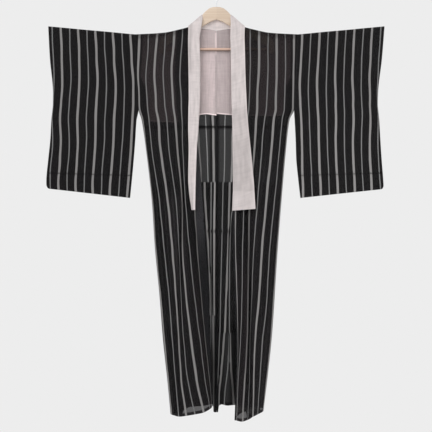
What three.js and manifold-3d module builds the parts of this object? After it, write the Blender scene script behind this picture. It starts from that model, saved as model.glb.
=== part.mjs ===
// An unlined striped summer kimono hanging open on a wooden coat hanger.
//
// Millimetres, +Z up. The kimono faces -Y, its back is toward +Y. The origin is the
// inside top of the hanger's hook, where a rail or peg carries it, and X = 0 is the
// centre back seam. "right" and "left" are the wearer's: the wearer's right is at -X.
//
// Each cloth piece is a wall around a middle surface. A surface is a grid of points
// worked out from the section tables below; what lies on a panel is made from that
// panel's own points, moved out by the thickness of the layers between.

import * as THREE from 'three';
import Module from 'manifold-3d';

// ---------------------------------------------------------------- cloth
const WALL = 1.0;                  // cloth wall
const SEAM = 0.3;                  // gap between sewn pieces
const LAYER = WALL + SEAM;         // from one middle surface to the next one on it

// ---------------------------------------------------------------- body panels
const FRONT_WIDTH = 221;           // cloth of a front, side seam to overlap seam
const PANEL_STRIPS = 13;           // strips across a front or a half back
const SHOULDER_BEND = 11;          // radius of the cloth over the shoulder
const NECK_POINT = 93;             // neck point on the shoulder line, from the centre
const NECK_BACK = 88;              // where the neck cut leaves the shoulder behind
const NECK_DROP_Z = -158;          // back neck seam at the centre
const ARMHOLE_Z = -445;            // lower end of the sleeve seam
const ARMHOLE_GAP = 0.5;           // between the middles of the panel's and the sleeve's edges

// Shoulder line: height of the fold at a distance from the centre
const SHOULDER_LINE = [
  { x: 88, z: -138.5 },
  { x: 112, z: -147 },
  { x: 143, z: -155 },
  { x: 200, z: -167 },
  { x: 313, z: -174 },
];

// Cloth stations of a front, in mm of cloth from the side seam
const STATIONS = { side: 0, u17: 17, u51: 51, u85: 85, u119: 119, u153: 153, u187: 187, u221: 221 };

// Fronts from above: distance of each station from the centre plane at each height
const FRONT_X = {
  right: [
    { z: -174, side: 313.3, u17: 296, u51: 261, u85: 228, u119: 195, u153: 162, u187: 130, u221: 93 },
    { z: -272, side: 311.3, u17: 295, u51: 261, u85: 229, u119: 195, u153: 163, u187: 131, u221: 94 },
    { z: -368, side: 307.8, u17: 295, u51: 263, u85: 231, u119: 197, u153: 165, u187: 133, u221: 96 },
    { z: -445, side: 302.3, u17: 297, u51: 265, u85: 231, u119: 198, u153: 165, u187: 134, u221: 97 },
    { z: -503, side: 288, u17: 284, u51: 258, u85: 224, u119: 190, u153: 158, u187: 132, u221: 99 },
    { z: -619, side: 271, u17: 269, u51: 248, u85: 214, u119: 182, u153: 149, u187: 129, u221: 100 },
    { z: -811, side: 249, u17: 247, u51: 219, u85: 187, u119: 155, u153: 132, u187: 119, u221: 83 },
    { z: -1004, side: 235.5, u17: 234, u51: 200, u85: 168, u119: 143, u153: 130, u187: 102, u221: 71 },
    { z: -1196, side: 218, u17: 214.5, u51: 180, u85: 154, u119: 135, u153: 114, u187: 82, u221: 55 },
    { z: -1350, side: 206, u17: 201, u51: 169, u85: 144, u119: 125, u153: 96, u187: 62, u221: 41 },
    { z: -1504, side: 189.5, u17: 186, u51: 157, u85: 134, u119: 109, u153: 75, u187: 43, u221: 25 },
    { z: -1640, side: 177, u17: 174, u51: 144, u85: 116, u119: 82, u153: 49, u187: 24, u221: 17 },
  ],
  left: [
    { z: -174, side: 313.3, u17: 298, u51: 264, u85: 231, u119: 198, u153: 164, u187: 129, u221: 93 },
    { z: -272, side: 308, u17: 296, u51: 263, u85: 230, u119: 196, u153: 161, u187: 128, u221: 94 },
    { z: -368, side: 305, u17: 295, u51: 262, u85: 228, u119: 194, u153: 158, u187: 126, u221: 96 },
    { z: -445, side: 300, u17: 294, u51: 261, u85: 227, u119: 192, u153: 156, u187: 124, u221: 97 },
    { z: -503, side: 281, u17: 279, u51: 252, u85: 219, u119: 184, u153: 152, u187: 119, u221: 92 },
    { z: -619, side: 267, u17: 265, u51: 241, u85: 210, u119: 173, u153: 145, u187: 113, u221: 83 },
    { z: -811, side: 250, u17: 248, u51: 222, u85: 191, u119: 157, u153: 128, u187: 105, u221: 71 },
    { z: -1004, side: 234.5, u17: 233, u51: 203, u85: 173, u119: 142, u153: 123, u187: 99, u221: 71 },
    { z: -1196, side: 223, u17: 220, u51: 192, u85: 161, u119: 134, u153: 120, u187: 97, u221: 77 },
    { z: -1350, side: 212, u17: 209, u51: 176, u85: 147, u119: 128, u153: 117, u187: 91, u221: 81 },
    { z: -1504, side: 195.5, u17: 193, u51: 165, u85: 142, u119: 126, u153: 107, u187: 82, u221: 79 },
    { z: -1640, side: 181, u17: 179, u51: 157, u85: 139, u119: 120, u153: 99, u187: 77, u221: 75 },
  ],
};

// Fronts from the side: how far the cloth stands forward, before its creases
const FRONT_Y = {
  right: [
    { z: -185, side: -11, u17: -11, u51: -11, u119: -11, u221: -11 },
    { z: -300, side: -9, u17: -10, u51: -11.5, u119: -13, u221: -14 },
    { z: -445, side: -3.6, u17: -7, u51: -12, u119: -17, u221: -19 },
    { z: -503, side: -0.65, u17: -8, u51: -16, u119: -21, u221: -23 },
    { z: -619, side: -0.65, u17: -11, u51: -24, u119: -31, u221: -33 },
    { z: -811, side: -0.65, u17: -12, u51: -30, u119: -38, u221: -41 },
    { z: -1004, side: -0.65, u17: -12, u51: -32, u119: -42, u221: -45 },
    { z: -1350, side: 2.35, u17: -9, u51: -29, u119: -44, u221: -50 },
    { z: -1640, side: 4.35, u17: -6, u51: -25, u119: -45, u221: -46 },
  ],
  left: [
    { z: -185, side: -11, u17: -11, u51: -11, u119: -11, u221: -11 },
    { z: -300, side: -9, u17: -10, u51: -11.5, u119: -13, u221: -14 },
    { z: -445, side: -3.6, u17: -7, u51: -12, u119: -17, u221: -19 },
    { z: -503, side: -0.65, u17: -8, u51: -16, u119: -22, u221: -24 },
    { z: -619, side: -0.65, u17: -12, u51: -26, u119: -33, u221: -34 },
    { z: -811, side: -0.65, u17: -13, u51: -31, u119: -40, u221: -42 },
    { z: -1004, side: -0.65, u17: -13, u51: -33, u119: -43, u221: -46 },
    { z: -1350, side: 2.35, u17: -10, u51: -34, u119: -48, u221: -54 },
    { z: -1640, side: 4.35, u17: -8, u51: -36, u119: -52, u221: -57 },
  ],
};
const FRONT_Y_STATIONS = { side: 0, u17: 17, u51: 51, u119: 119, u221: 221 };

// The long crease of each front: where it runs, how deep it sinks in, how wide it is
const CREASE = {
  right: [
    { z: -445, at: 168, depth: 0, width: 16 },
    { z: -619, at: 168, depth: 8, width: 16 },
    { z: -811, at: 168, depth: 14, width: 16 },
    { z: -1004, at: 138, depth: 15, width: 17 },
    { z: -1196, at: 118, depth: 14, width: 18 },
    { z: -1350, at: 105, depth: 12, width: 22 },
    { z: -1504, at: 96, depth: 8, width: 26 },
    { z: -1640, at: 98, depth: 5, width: 30 },
  ],
  left: [
    { z: -445, at: 136, depth: 0, width: 16 },
    { z: -619, at: 137, depth: 9, width: 16 },
    { z: -811, at: 158, depth: 14, width: 18 },
    { z: -1004, at: 146, depth: 17, width: 18 },
    { z: -1196, at: 134, depth: 21, width: 17 },
    { z: -1350, at: 130, depth: 24, width: 19 },
    { z: -1504, at: 124, depth: 27, width: 24 },
    { z: -1640, at: 124, depth: 30, width: 29 },
  ],
};

// Height of the front hems at the stations
const FRONT_HEM = {
  right: {
    side: -1626, u17: -1628, u51: -1640, u85: -1637,
    u119: -1630, u153: -1622, u187: -1608, u221: -1601,
  },
  left: {
    side: -1622, u17: -1624, u51: -1631, u85: -1637,
    u119: -1650, u153: -1653, u187: -1647, u221: -1644,
  },
};

// The back from the side: its middle, its side edge, and the side seam's own place
const BACK_Y = [
  { z: -185, middle: 11, edge: 11 },
  { z: -300, middle: 11, edge: 9 },
  { z: -445, middle: 12, edge: 3.6 },
  { z: -503, middle: 13, edge: 0.65 },
  { z: -619, middle: 15, edge: 0.65 },
  { z: -811, middle: 18, edge: 0.65 },
  { z: -1004, middle: 22, edge: 0.65 },
  { z: -1350, middle: 30, edge: 3.65 },
  { z: -1640, middle: 35, edge: 5.65 },
];
const BACK_EDGE_TURN = 16;         // how fast the back falls away from the side seam
const BACK_HEM = { side: -1626, centre: -1608 };
const CENTRE_SEAM_X = 0.2;         // half the gap at the centre back seam
const CENTRE_FLAT = 0.08;          // share of a half back that stays flat at the seam

// Folds of the half backs, s from 0 at the side seam to 1 at the centre back seam:
// where a fold runs, its width, its depth at the hem (+ is away from the fronts),
// and the height where it starts
const BACK_FOLDS = {
  right: [
    { s: 0.20, width: 0.10, depth: -19, from: -620 },
    { s: 0.42, width: 0.11, depth: 23, from: -700 },
    { s: 0.64, width: 0.10, depth: -24, from: -760 },
    { s: 0.85, width: 0.08, depth: 18, from: -900 },
  ],
  left: [
    { s: 0.17, width: 0.09, depth: 16, from: -700 },
    { s: 0.36, width: 0.10, depth: -23, from: -640 },
    { s: 0.56, width: 0.10, depth: 24, from: -820 },
    { s: 0.77, width: 0.09, depth: -26, from: -1180 },
  ],
};
const FOLD_GROWTH = 1.3;           // how a fold's depth grows toward the hem

// Heights of the rows of cloth, besides those over the shoulder and at the hem
const ARMHOLE_ROWS = [-272, -340, -406, -445];
const FRONT_ROWS = [-1504, -1350, -1196, -1004, -811, -619, -503, ...ARMHOLE_ROWS.toReversed()];
const SEAT_ROWS = [-742, -890, -1040, -1200, -1290];
const BACK_ROWS = [...ARMHOLE_ROWS, -503, -619, ...SEAT_ROWS, -1400, -1504];
const HEM_LEVEL = -1640;           // table height that the hem's sections come from

// ---------------------------------------------------------------- overlap panels
// The overlap panels run on from the fronts, fold under at the front edge and lie
// behind the fronts: the folded edge, and how far the hidden part reaches back out
const OVERLAP = {
  right: [
    { z: -503, fold: 85, reach: 101 },
    { z: -619, fold: 69, reach: 108 },
    { z: -811, fold: 54, reach: 128 },
    { z: -1004, fold: 41, reach: 138 },
    { z: -1196, fold: 28.5, reach: 140 },
    { z: -1350, fold: 23.5, reach: 138 },
    { z: -1504, fold: 18.5, reach: 134 },
    { z: -1640, fold: 12.5, reach: 130 },
  ],
  left: [
    { z: -503, fold: 81, reach: 99 },
    { z: -619, fold: 68, reach: 106 },
    { z: -811, fold: 62, reach: 134 },
    { z: -1004, fold: 63, reach: 150 },
    { z: -1196, fold: 68.5, reach: 162 },
    { z: -1350, fold: 75, reach: 168 },
    { z: -1504, fold: 74.5, reach: 170 },
    { z: -1640, fold: 70.5, reach: 168 },
  ],
};
const OVERLAP_BEND = 2.4;          // radius of its folded edge
const OVERLAP_BACK_Y = -13;        // where the hidden part lies, between front and back
const OVERLAP_EASE = 26;           // distance in which it gets there
const OVERLAP_RETURN = [0.06, 0.15, 0.3, 0.55, 1]; // points across the hidden part
const OVERLAP_LEAST = 5;           // least width of the hidden part
const OVERLAP_HEM_LIFT = 4;        // its hem stays a little above the front's

// ---------------------------------------------------------------- sleeves
// Sleeve from the front: its outer edge, and its inner edge where that hangs free
const SLEEVE = {
  right: {
    rows: [
      { z: -143, inner: 302.6, outer: 647 },
      { z: -272, inner: 302.6, outer: 640 },
      { z: -368, inner: 302.6, outer: 630.5 },
      { z: -445, inner: 302.6, outer: 630 },
      { z: -503, inner: 309, outer: 636 },
      { z: -580, inner: 313, outer: 640 },
      { z: -657, inner: 319, outer: 648 },
      { z: -734, inner: 326, outer: 655 },
      { z: -804, inner: 333, outer: 652 },
    ],
    corner: { innerTop: -174, outerTop: -143, innerEnd: -803.5, outerEnd: -767 },
  },
  left: {
    rows: [
      { z: -143, inner: 300.3, outer: 646 },
      { z: -272, inner: 300.3, outer: 635.5 },
      { z: -368, inner: 300.3, outer: 624 },
      { z: -445, inner: 300.3, outer: 621 },
      { z: -503, inner: 302, outer: 626.5 },
      { z: -580, inner: 305, outer: 631 },
      { z: -657, inner: 307.5, outer: 636 },
      { z: -734, inner: 315, outer: 642 },
      { z: -804, inner: 323, outer: 646 },
    ],
    corner: { innerTop: -174, outerTop: -143, innerEnd: -803.5, outerEnd: -769 },
  },
};
// Half the gap between the sleeve's front and back layers at its two edges
const SLEEVE_GAP = [
  { z: -140, inner: 11, outer: 8 },
  { z: -185, inner: 11, outer: 8 },
  { z: -300, inner: 9, outer: 8 },
  { z: -366, inner: 6.5, outer: 5 },
  { z: -386, inner: 5.8, outer: 0.65 },
  { z: -445, inner: 3.6, outer: 0.65 },
  { z: -620, inner: 5, outer: 0.65 },
  { z: -804, inner: 4, outer: 0.65 },
];
const SLEEVE_BELLY = 10;           // half the gap in the middle of the sleeve
const SLEEVE_STRIPS = 9;
// Rows of the sleeve's cloth: height at its inner and at its outer edge
const SLEEVE_LEVELS = [
  { inner: -196, outer: -172 },
  { inner: -272, outer: -250 },
  { inner: -340, outer: -320 },
  { inner: -406, outer: -366 },
  { inner: -445, outer: -388 },
  { inner: -503, outer: -455 },
  { inner: -580, outer: -540 },
  { inner: -657, outer: -620 },
  { inner: -734, outer: -700 },
  { inner: -786, outer: -748 },
];
const SLEEVE_ARC = 3;              // strips around the shoulder fold or the bottom fold
const SLEEVE_BOTTOM_BEND = 3.5;    // most that the layers stand apart at the bottom

// ---------------------------------------------------------------- collar
// The wide collar is folded outward. Its seam runs on the front edge, its fold stands
// toward the neck opening, and its free edge lies back over the front:
// x of seam, fold and edge, forward rise of seam and fold, and rest of the edge
const COLLAR_FRONT = {
  right: [
    { z: -850, seam: 89, lap: 3.4, fold: 84, rise: 44, edge: 97, rest: 4 },
    { z: -792, seam: 89.5, lap: 3.4, fold: 83, rise: 40, edge: 105, rest: 4 },
    { z: -734, seam: 90, lap: 3.4, fold: 82, rise: 36, edge: 108.5, rest: 4 },
    { z: -619, seam: 91, lap: 3.4, fold: 78, rise: 27, edge: 109, rest: 4 },
    { z: -542, seam: 91, lap: 3.4, fold: 72, rise: 18, edge: 109, rest: 4 },
    { z: -460, seam: 92, lap: 3.4, fold: 67, rise: 13, edge: 109, rest: 3.5 },
    { z: -426, seam: 95.9, lap: 0, fold: 66, rise: 12, edge: 109, rest: 3.5 },
    { z: -330, seam: 94.2, lap: 0, fold: 65.5, rise: 12, edge: 109.5, rest: 3 },
    { z: -234, seam: 92.7, lap: 0, fold: 65, rise: 11, edge: 110.5, rest: 3 },
    { z: -190, seam: 92.2, lap: 0, fold: 66, rise: 10, edge: 109.5, rest: 3 },
  ],
  left: [
    { z: -850, seam: 74, lap: 3.4, fold: 64, rise: 9, edge: 151, rest: 15 },
    { z: -792, seam: 74, lap: 3.4, fold: 66, rise: 9, edge: 146.5, rest: 12 },
    { z: -734, seam: 75, lap: 3.4, fold: 66, rise: 10, edge: 142, rest: 9 },
    { z: -619, seam: 78, lap: 3.4, fold: 63.5, rise: 12, edge: 134, rest: 5 },
    { z: -542, seam: 84, lap: 3.4, fold: 63, rise: 12, edge: 126, rest: 4 },
    { z: -460, seam: 90, lap: 3.4, fold: 62, rise: 13, edge: 119, rest: 3.5 },
    { z: -426, seam: 95.9, lap: 0, fold: 61.5, rise: 12, edge: 117, rest: 3.5 },
    { z: -330, seam: 94.2, lap: 0, fold: 60.5, rise: 12, edge: 112.5, rest: 3 },
    { z: -234, seam: 92.7, lap: 0, fold: 58.5, rise: 11, edge: 111, rest: 3 },
    { z: -190, seam: 92.2, lap: 0, fold: 57.5, rise: 10, edge: 111, rest: 3 },
  ],
};
const COLLAR_END_SLOPE = { right: 0, left: 7 }; // how much higher the free end's edge is
// Around the neck both sides are alike: points of seam, fold and edge from the front
// of the shoulder to the centre back
const COLLAR_NECK = [
  { seam: [92, -9.6, -147], fold: [61, -17, -124], edge: [109.5, -15.5, -152] },
  { seam: [91.8, 0, -139.6], fold: [59.5, 0, -100.8], edge: [109.3, 0, -142.8] },
  { seam: [87.4, 10.3, -147.6], fold: [57, 13, -101], edge: [104, 16, -150] },
  { seam: [60, 11.3, -151.2], fold: [40, 16, -101.6], edge: [72, 24, -152] },
  { seam: [28, 11.4, -154.4], fold: [19, 16.8, -102.6], edge: [34, 26.5, -153] },
  { seam: [0, 11.5, -157], fold: [0, 17, -103], edge: [0, 27, -153.5] },
];
const COLLAR_BEND = 2.3;           // radius of the collar's own cloth at its fold
const COLLAR_ARC = 3;              // strips around that fold
const COLLAR_LIMB = 0.5;           // place of the further point on each side of the fold

// ---------------------------------------------------------------- linings
// The linings stop one strip short of the side seams
const SHOULDER_LINING = { top: 3, hemCentre: -482, hemSide: -509 };
const LINING_RISE = 1.6;           // from the middle of the back to that of its lining

// ---------------------------------------------------------------- coat hanger
const HANGER_THICK = 13;
const HANGER_ROUND = 4.5;          // rounding along its edges
// Half outline of the wood, centre to arm end along the top, then back underneath
const HANGER_TOP = [
  [0, -68], [14, -69], [27, -73], [40, -83], [50, -93], [55, -101], [59, -113], [66, -122.5],
  [80, -138], [92, -147.5], [112, -149.2], [125, -152.6], [150, -158.8], [180, -170], [204, -183],
  [215, -192],
];
const HANGER_ARM_END = [[220, -205], [222, -240], [217, -247], [203, -247], [199, -240]];
const HANGER_UNDER = [[197, -222], [160, -199], [108, -173], [58, -146], [22, -125], [0, -117]];
const BAR_R = 6;
const BAR_Z = -232;
const BAR_END = 207;               // half length, its ends sit in the arms
const SOCKET_END = 207.4;
const SOCKET_R = BAR_R + SEAM;
const HOOK_WIRE_R = 1.8;
const HOOK_INNER_R = 17;
const HOOK_SHANK_END = -92;        // the shank is screwed into the wood this far
const HOOK_TIP_ANGLE = 208;        // the hook's round part, in degrees
const HOOK_START_ANGLE = -42;
const HOOK_ANGLE_STEP = 25;
const HOOK_SHANK = [-74, -58];      // points of the straight shank
const HOOK_NECK = [3.2, -44];      // where it bends out to the round part

// ================================================================ helpers
const { cos, sin, PI, min, max, exp } = Math;
const V = (x, y, z) => new THREE.Vector3(x, y, z);
const mix = (a, b, t) => a + (b - a) * t;
const clamp01 = (t) => min(1, max(0, t));
const SIGN = { right: -1, left: 1 };

// Smooth curve through values ys at rising places xs
function smoothAt(xs, ys, x) {
  const last = xs.length - 1;
  if (x <= xs[0]) return ys[0];
  if (x >= xs[last]) return ys[last];
  let i = 0;
  while (x > xs[i + 1]) i += 1;
  const slope = (k) => {
    const a = max(0, k - 1);
    const b = min(last, k + 1);
    return (ys[b] - ys[a]) / (xs[b] - xs[a]);
  };
  const h = xs[i + 1] - xs[i];
  const t = (x - xs[i]) / h;
  const t2 = t * t;
  const t3 = t2 * t;
  return (2 * t3 - 3 * t2 + 1) * ys[i] + (t3 - 2 * t2 + t) * h * slope(i)
    + (3 * t2 - 2 * t3) * ys[i + 1] + (t3 - t2) * h * slope(i + 1);
}

// Named column of a table whose rows go down from the top, at height z
function columnAt(table, name, z) {
  return smoothAt(table.map((row) => -row.z), table.map((row) => row[name]), -z);
}

// Section row of a table at height z, read at a cloth station u
function stationAt(table, stations, u, z) {
  const names = Object.keys(stations);
  return smoothAt(names.map((n) => stations[n]), names.map((n) => columnAt(table, n, z)), u);
}

// Outward directions of a grid of points, one for each point
function gridNormals(grid, closedColumns = false) {
  const rows = grid.length;
  const cols = grid[0].length;
  return grid.map((row, r) => row.map((_, c) => {
    const alongRows = V(0, 0, 0).subVectors(grid[min(rows - 1, r + 1)][c], grid[max(0, r - 1)][c]);
    const next = closedColumns ? (c + 1) % cols : min(cols - 1, c + 1);
    const before = closedColumns ? (c + cols - 1) % cols : max(0, c - 1);
    const acrossRows = V(0, 0, 0).subVectors(row[next], row[before]);
    return acrossRows.cross(alongRows).normalize();
  }));
}

function movedGrid(grid, distance) {
  const normals = gridNormals(grid);
  return grid.map((row, r) => row.map((p, c) => p.clone().addScaledVector(normals[r][c], distance)));
}

// Closed mesh from quads between lists of points; turned over where it faces inward
function closedMesh(points, faces) {
  let volume = 0;
  faces.forEach(([a, b, c]) => {
    volume += points[a].dot(V(0, 0, 0).crossVectors(points[b], points[c]));
  });
  const index = faces.flatMap(([a, b, c]) => (volume > 0 ? [a, b, c] : [a, c, b]));
  const geometry = new THREE.BufferGeometry();
  geometry.setAttribute('position', new THREE.Float32BufferAttribute(points.flatMap((p) => p.toArray()), 3));
  geometry.setIndex(index);
  geometry.computeVertexNormals();
  return geometry;
}

// Wall between two grids of the same size
function wallBetween(front, back) {
  const rows = front.length;
  const cols = front[0].length;
  const points = [...front.flat(), ...back.flat()];
  const at = (side, r, c) => side * rows * cols + r * cols + c;
  const faces = [];
  const quad = (a, b, c, d) => faces.push([a, b, c], [a, c, d]);
  for (let r = 0; r < rows - 1; r += 1) {
    for (let c = 0; c < cols - 1; c += 1) {
      quad(at(0, r, c), at(0, r, c + 1), at(0, r + 1, c + 1), at(0, r + 1, c));
      quad(at(1, r, c), at(1, r + 1, c), at(1, r + 1, c + 1), at(1, r, c + 1));
    }
    quad(at(0, r, 0), at(0, r + 1, 0), at(1, r + 1, 0), at(1, r, 0));
    quad(at(0, r, cols - 1), at(1, r, cols - 1), at(1, r + 1, cols - 1), at(0, r + 1, cols - 1));
  }
  for (let c = 0; c < cols - 1; c += 1) {
    quad(at(0, 0, c), at(1, 0, c), at(1, 0, c + 1), at(0, 0, c + 1));
    quad(at(0, rows - 1, c), at(0, rows - 1, c + 1), at(1, rows - 1, c + 1), at(1, rows - 1, c));
  }
  return closedMesh(points, faces);
}

// Cloth of the standard wall around a middle surface
function cloth(grid) {
  return wallBetween(movedGrid(grid, WALL / 2), movedGrid(grid, -WALL / 2));
}

// ================================================================ body panels
function shoulderZ(x) {
  return smoothAt(SHOULDER_LINE.map((row) => row.x), SHOULDER_LINE.map((row) => row.z), x);
}

function frontX(side, u, z) {
  return stationAt(FRONT_X[side], STATIONS, u, z);
}

function frontY(side, u, z) {
  const base = stationAt(FRONT_Y[side], FRONT_Y_STATIONS, u, z);
  const table = CREASE[side];
  const off = (u - columnAt(table, 'at', z)) / columnAt(table, 'width', z);
  return base + columnAt(table, 'depth', z) * exp(-off * off);
}

function frontHem(side, u) {
  const hem = FRONT_HEM[side];
  const names = Object.keys(hem);
  return smoothAt(names.map((n) => STATIONS[n]), names.map((n) => hem[n]), u);
}

function frontPoint(side, u, z) {
  return V(SIGN[side] * frontX(side, u, z), frontY(side, u, z), z);
}

// Depth of a front at a distance from the centre plane
function frontYAtX(side, x, z) {
  let low = 0;
  let high = FRONT_WIDTH;
  for (let step = 0; step < 24; step += 1) {
    const u = (low + high) / 2;
    if (frontX(side, u, z) > x) low = u;
    else high = u;
  }
  return frontY(side, low, z);
}

function backX(side, s, z) {
  return mix(frontX(side, 0, z), CENTRE_SEAM_X, s);
}

function backY(side, s, z) {
  const middle = columnAt(BACK_Y, 'middle', z);
  const edge = columnAt(BACK_Y, 'edge', z);
  const inward = frontX(side, 0, z) * s;
  let y = middle + (edge - middle) * exp(-inward / BACK_EDGE_TURN);
  BACK_FOLDS[side].forEach((fold) => {
    const grown = clamp01((fold.from - z) / (fold.from - HEM_LEVEL)) ** FOLD_GROWTH;
    const off = (s - fold.s) / fold.width;
    y += fold.depth * grown * exp(-off * off) * clamp01((1 - s) / CENTRE_FLAT);
  });
  return y;
}

function backPoint(side, s, z) {
  return V(SIGN[side] * backX(side, s, z), backY(side, s, z), z);
}

// Height of the first row of the back below the shoulder, up to the neck seam
function backTopZ(s) {
  return NECK_DROP_Z - 34 * (1 - s) ** 0.5;
}

function shoulderPoint(side, share, degrees) {
  const inner = mix(NECK_POINT, NECK_BACK, max(0, degrees - 90) / 90);
  const u = share * FRONT_WIDTH;
  const outer = frontX(side, 0, -SHOULDER_BEND + shoulderZ(300));
  const x = degrees > 90 ? mix(outer, inner, share) : min(outer, frontX(side, u, -174));
  const angle = (degrees * PI) / 180;
  const z = shoulderZ(x) - SHOULDER_BEND * (1 - sin(angle));
  return V(SIGN[side] * x, -SHOULDER_BEND * cos(angle), z);
}

function bodyGrid(side) {
  const shares = Array.from({ length: PANEL_STRIPS + 1 }, (_, i) => i / PANEL_STRIPS);
  const frontHemRow = shares.map((t) => {
    const p = frontPoint(side, t * FRONT_WIDTH, HEM_LEVEL);
    p.z = frontHem(side, t * FRONT_WIDTH);
    return p;
  });
  const frontRows = FRONT_ROWS.map((z) => shares.map((t) => frontPoint(side, t * FRONT_WIDTH, z)));
  const shoulderRows = [0, 45, 90, 135, 180].map((degrees) => (
    shares.map((t) => shoulderPoint(side, t, degrees))
  ));
  const neckRow = shares.map((t) => backPoint(side, t, backTopZ(t)));
  const backRows = BACK_ROWS.map((z) => shares.map((t) => backPoint(side, t, z)));
  const backHemRow = shares.map((t) => {
    const p = backPoint(side, t, HEM_LEVEL);
    p.z = mix(BACK_HEM.side, BACK_HEM.centre, t);
    return p;
  });
  return [frontHemRow, ...frontRows, ...shoulderRows, neckRow, ...backRows, backHemRow];
}

// ================================================================ overlap panels
// Section of an overlap panel: on from the front's edge, round the fold, back outward
function overlapSection(side, z, zPlace) {
  const table = OVERLAP[side];
  const seamX = frontX(side, FRONT_WIDTH, z) - SEAM - WALL / 2;
  const seamY = frontY(side, FRONT_WIDTH, z);
  const foldX = min(columnAt(table, 'fold', z), seamX - OVERLAP_BEND - 1);
  const reach = columnAt(table, 'reach', z);
  const bendX = foldX + OVERLAP_BEND;
  const section = [[seamX, seamY], [mix(seamX, bendX, 0.5), seamY - 0.2]];
  [0, 60, 120, 180].forEach((degrees) => {
    const angle = (degrees * PI) / 180;
    const y = seamY + OVERLAP_BEND * (1 - cos(angle));
    section.push([bendX - OVERLAP_BEND * sin(angle), y]);
  });
  const behind = seamY + 2 * OVERLAP_BEND;
  const hiddenY = max(OVERLAP_BACK_Y, behind);
  OVERLAP_RETURN.forEach((share) => {
    const distance = share * max(reach - bendX, OVERLAP_LEAST);
    const eased = 1 - exp(-1.6 * (distance / OVERLAP_EASE) ** 2);
    section.push([bendX + distance, mix(behind, hiddenY, eased)]);
  });
  return section.map(([x, y]) => V(SIGN[side] * x, y, zPlace));
}

function overlapGrid(side) {
  const rows = OVERLAP[side].map((row) => row.z).slice(0, -1);
  const grid = rows.map((z) => overlapSection(side, z, z));
  const hemZ = frontHem(side, FRONT_WIDTH) + OVERLAP_HEM_LIFT;
  grid.push(overlapSection(side, HEM_LEVEL, hemZ));
  return grid;
}

// ================================================================ sleeves
function sleeveGap(p, z) {
  const edge = mix(columnAt(SLEEVE_GAP, 'inner', z), columnAt(SLEEVE_GAP, 'outer', z), p);
  const belly = 4 * p * (1 - p);
  return mix(edge, max(edge, SLEEVE_BELLY), belly);
}

// Loop around the sleeve at the share p of its width, at an offset from the middle of
// the cloth: up the front, over the shoulder fold, down the back, under the bottom fold
function sleeveLoop(side, p, offset) {
  const { rows, corner } = SLEEVE[side];
  const top = mix(corner.innerTop, corner.outerTop, p);
  const end = mix(corner.innerEnd, corner.outerEnd, p);
  const xAt = (z) => {
    const free = columnAt(rows, 'inner', z);
    const inner = z < ARMHOLE_Z ? free : frontX(side, 0, z) + ARMHOLE_GAP;
    return SIGN[side] * mix(inner, columnAt(rows, 'outer', z), p);
  };
  const topBend = sleeveGap(p, top);
  const endBend = min(SLEEVE_BOTTOM_BEND, sleeveGap(p, end));
  const levels = SLEEVE_LEVELS.map((row) => mix(row.inner, row.outer, p)).reverse();
  const gapAt = (z) => mix(endBend, sleeveGap(p, z), clamp01((z - end) / 120));
  const fold = (z, bend, turn) => Array.from({ length: SLEEVE_ARC + 1 }, (_, i) => {
    const angle = (i * PI) / SLEEVE_ARC;
    const r = bend + offset;
    return V(xAt(z), -turn * r * cos(angle), z - turn * bend + turn * r * sin(angle));
  });
  const front = levels.map((z) => V(xAt(z), -(gapAt(z) + offset), z));
  const back = levels.map((z) => V(xAt(z), gapAt(z) + offset, z)).reverse();
  return [...front, ...fold(top, topBend, 1), ...back, ...fold(end, endBend, -1)];
}

function sleeve(side) {
  const shares = Array.from({ length: SLEEVE_STRIPS + 1 }, (_, i) => i / SLEEVE_STRIPS);
  const closed = (loop) => [...loop, loop[0]];
  const outside = shares.map((p) => closed(sleeveLoop(side, p, WALL / 2)));
  const inside = shares.map((p) => closed(sleeveLoop(side, p, -WALL / 2)));
  return ringWall(outside, inside);
}

// Wall between two grids whose rows close on themselves
function ringWall(outside, inside) {
  const rows = outside.length;
  const cols = outside[0].length - 1;
  const points = [...outside.flatMap((r) => r.slice(0, cols)), ...inside.flatMap((r) => r.slice(0, cols))];
  const at = (layer, r, c) => layer * rows * cols + r * cols + (c % cols);
  const faces = [];
  const quad = (a, b, c, d) => faces.push([a, b, c], [a, c, d]);
  for (let c = 0; c < cols; c += 1) {
    for (let r = 0; r < rows - 1; r += 1) {
      quad(at(0, r, c), at(0, r, c + 1), at(0, r + 1, c + 1), at(0, r + 1, c));
      quad(at(1, r, c), at(1, r + 1, c), at(1, r + 1, c + 1), at(1, r, c + 1));
    }
    quad(at(0, 0, c), at(1, 0, c), at(1, 0, c + 1), at(0, 0, c + 1));
    quad(at(0, rows - 1, c), at(0, rows - 1, c + 1), at(1, rows - 1, c + 1), at(1, rows - 1, c));
  }
  return closedMesh(points, faces);
}

// ================================================================ collar
// Section of cloth folded at a point: seam, round the fold, free edge
function foldedSection(seam, fold, edge) {
  const toSeam = seam.clone().sub(fold).normalize();
  const toEdge = edge.clone().sub(fold).normalize();
  const inward = toSeam.clone().add(toEdge).normalize();
  const across = toSeam.clone().addScaledVector(inward, -toSeam.dot(inward)).normalize();
  const centre = fold.clone().addScaledVector(inward, COLLAR_BEND);
  const bend = Array.from({ length: COLLAR_ARC + 1 }, (_, i) => {
    const angle = (i * PI) / COLLAR_ARC;
    return centre.clone()
      .addScaledVector(across, COLLAR_BEND * cos(angle))
      .addScaledVector(inward, -COLLAR_BEND * sin(angle));
  });
  const seamLimb = seam.clone().lerp(bend[0], COLLAR_LIMB);
  const edgeLimb = bend[COLLAR_ARC].clone().lerp(edge, COLLAR_LIMB);
  return [seam, seamLimb, ...bend, edgeLimb, edge];
}

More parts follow.
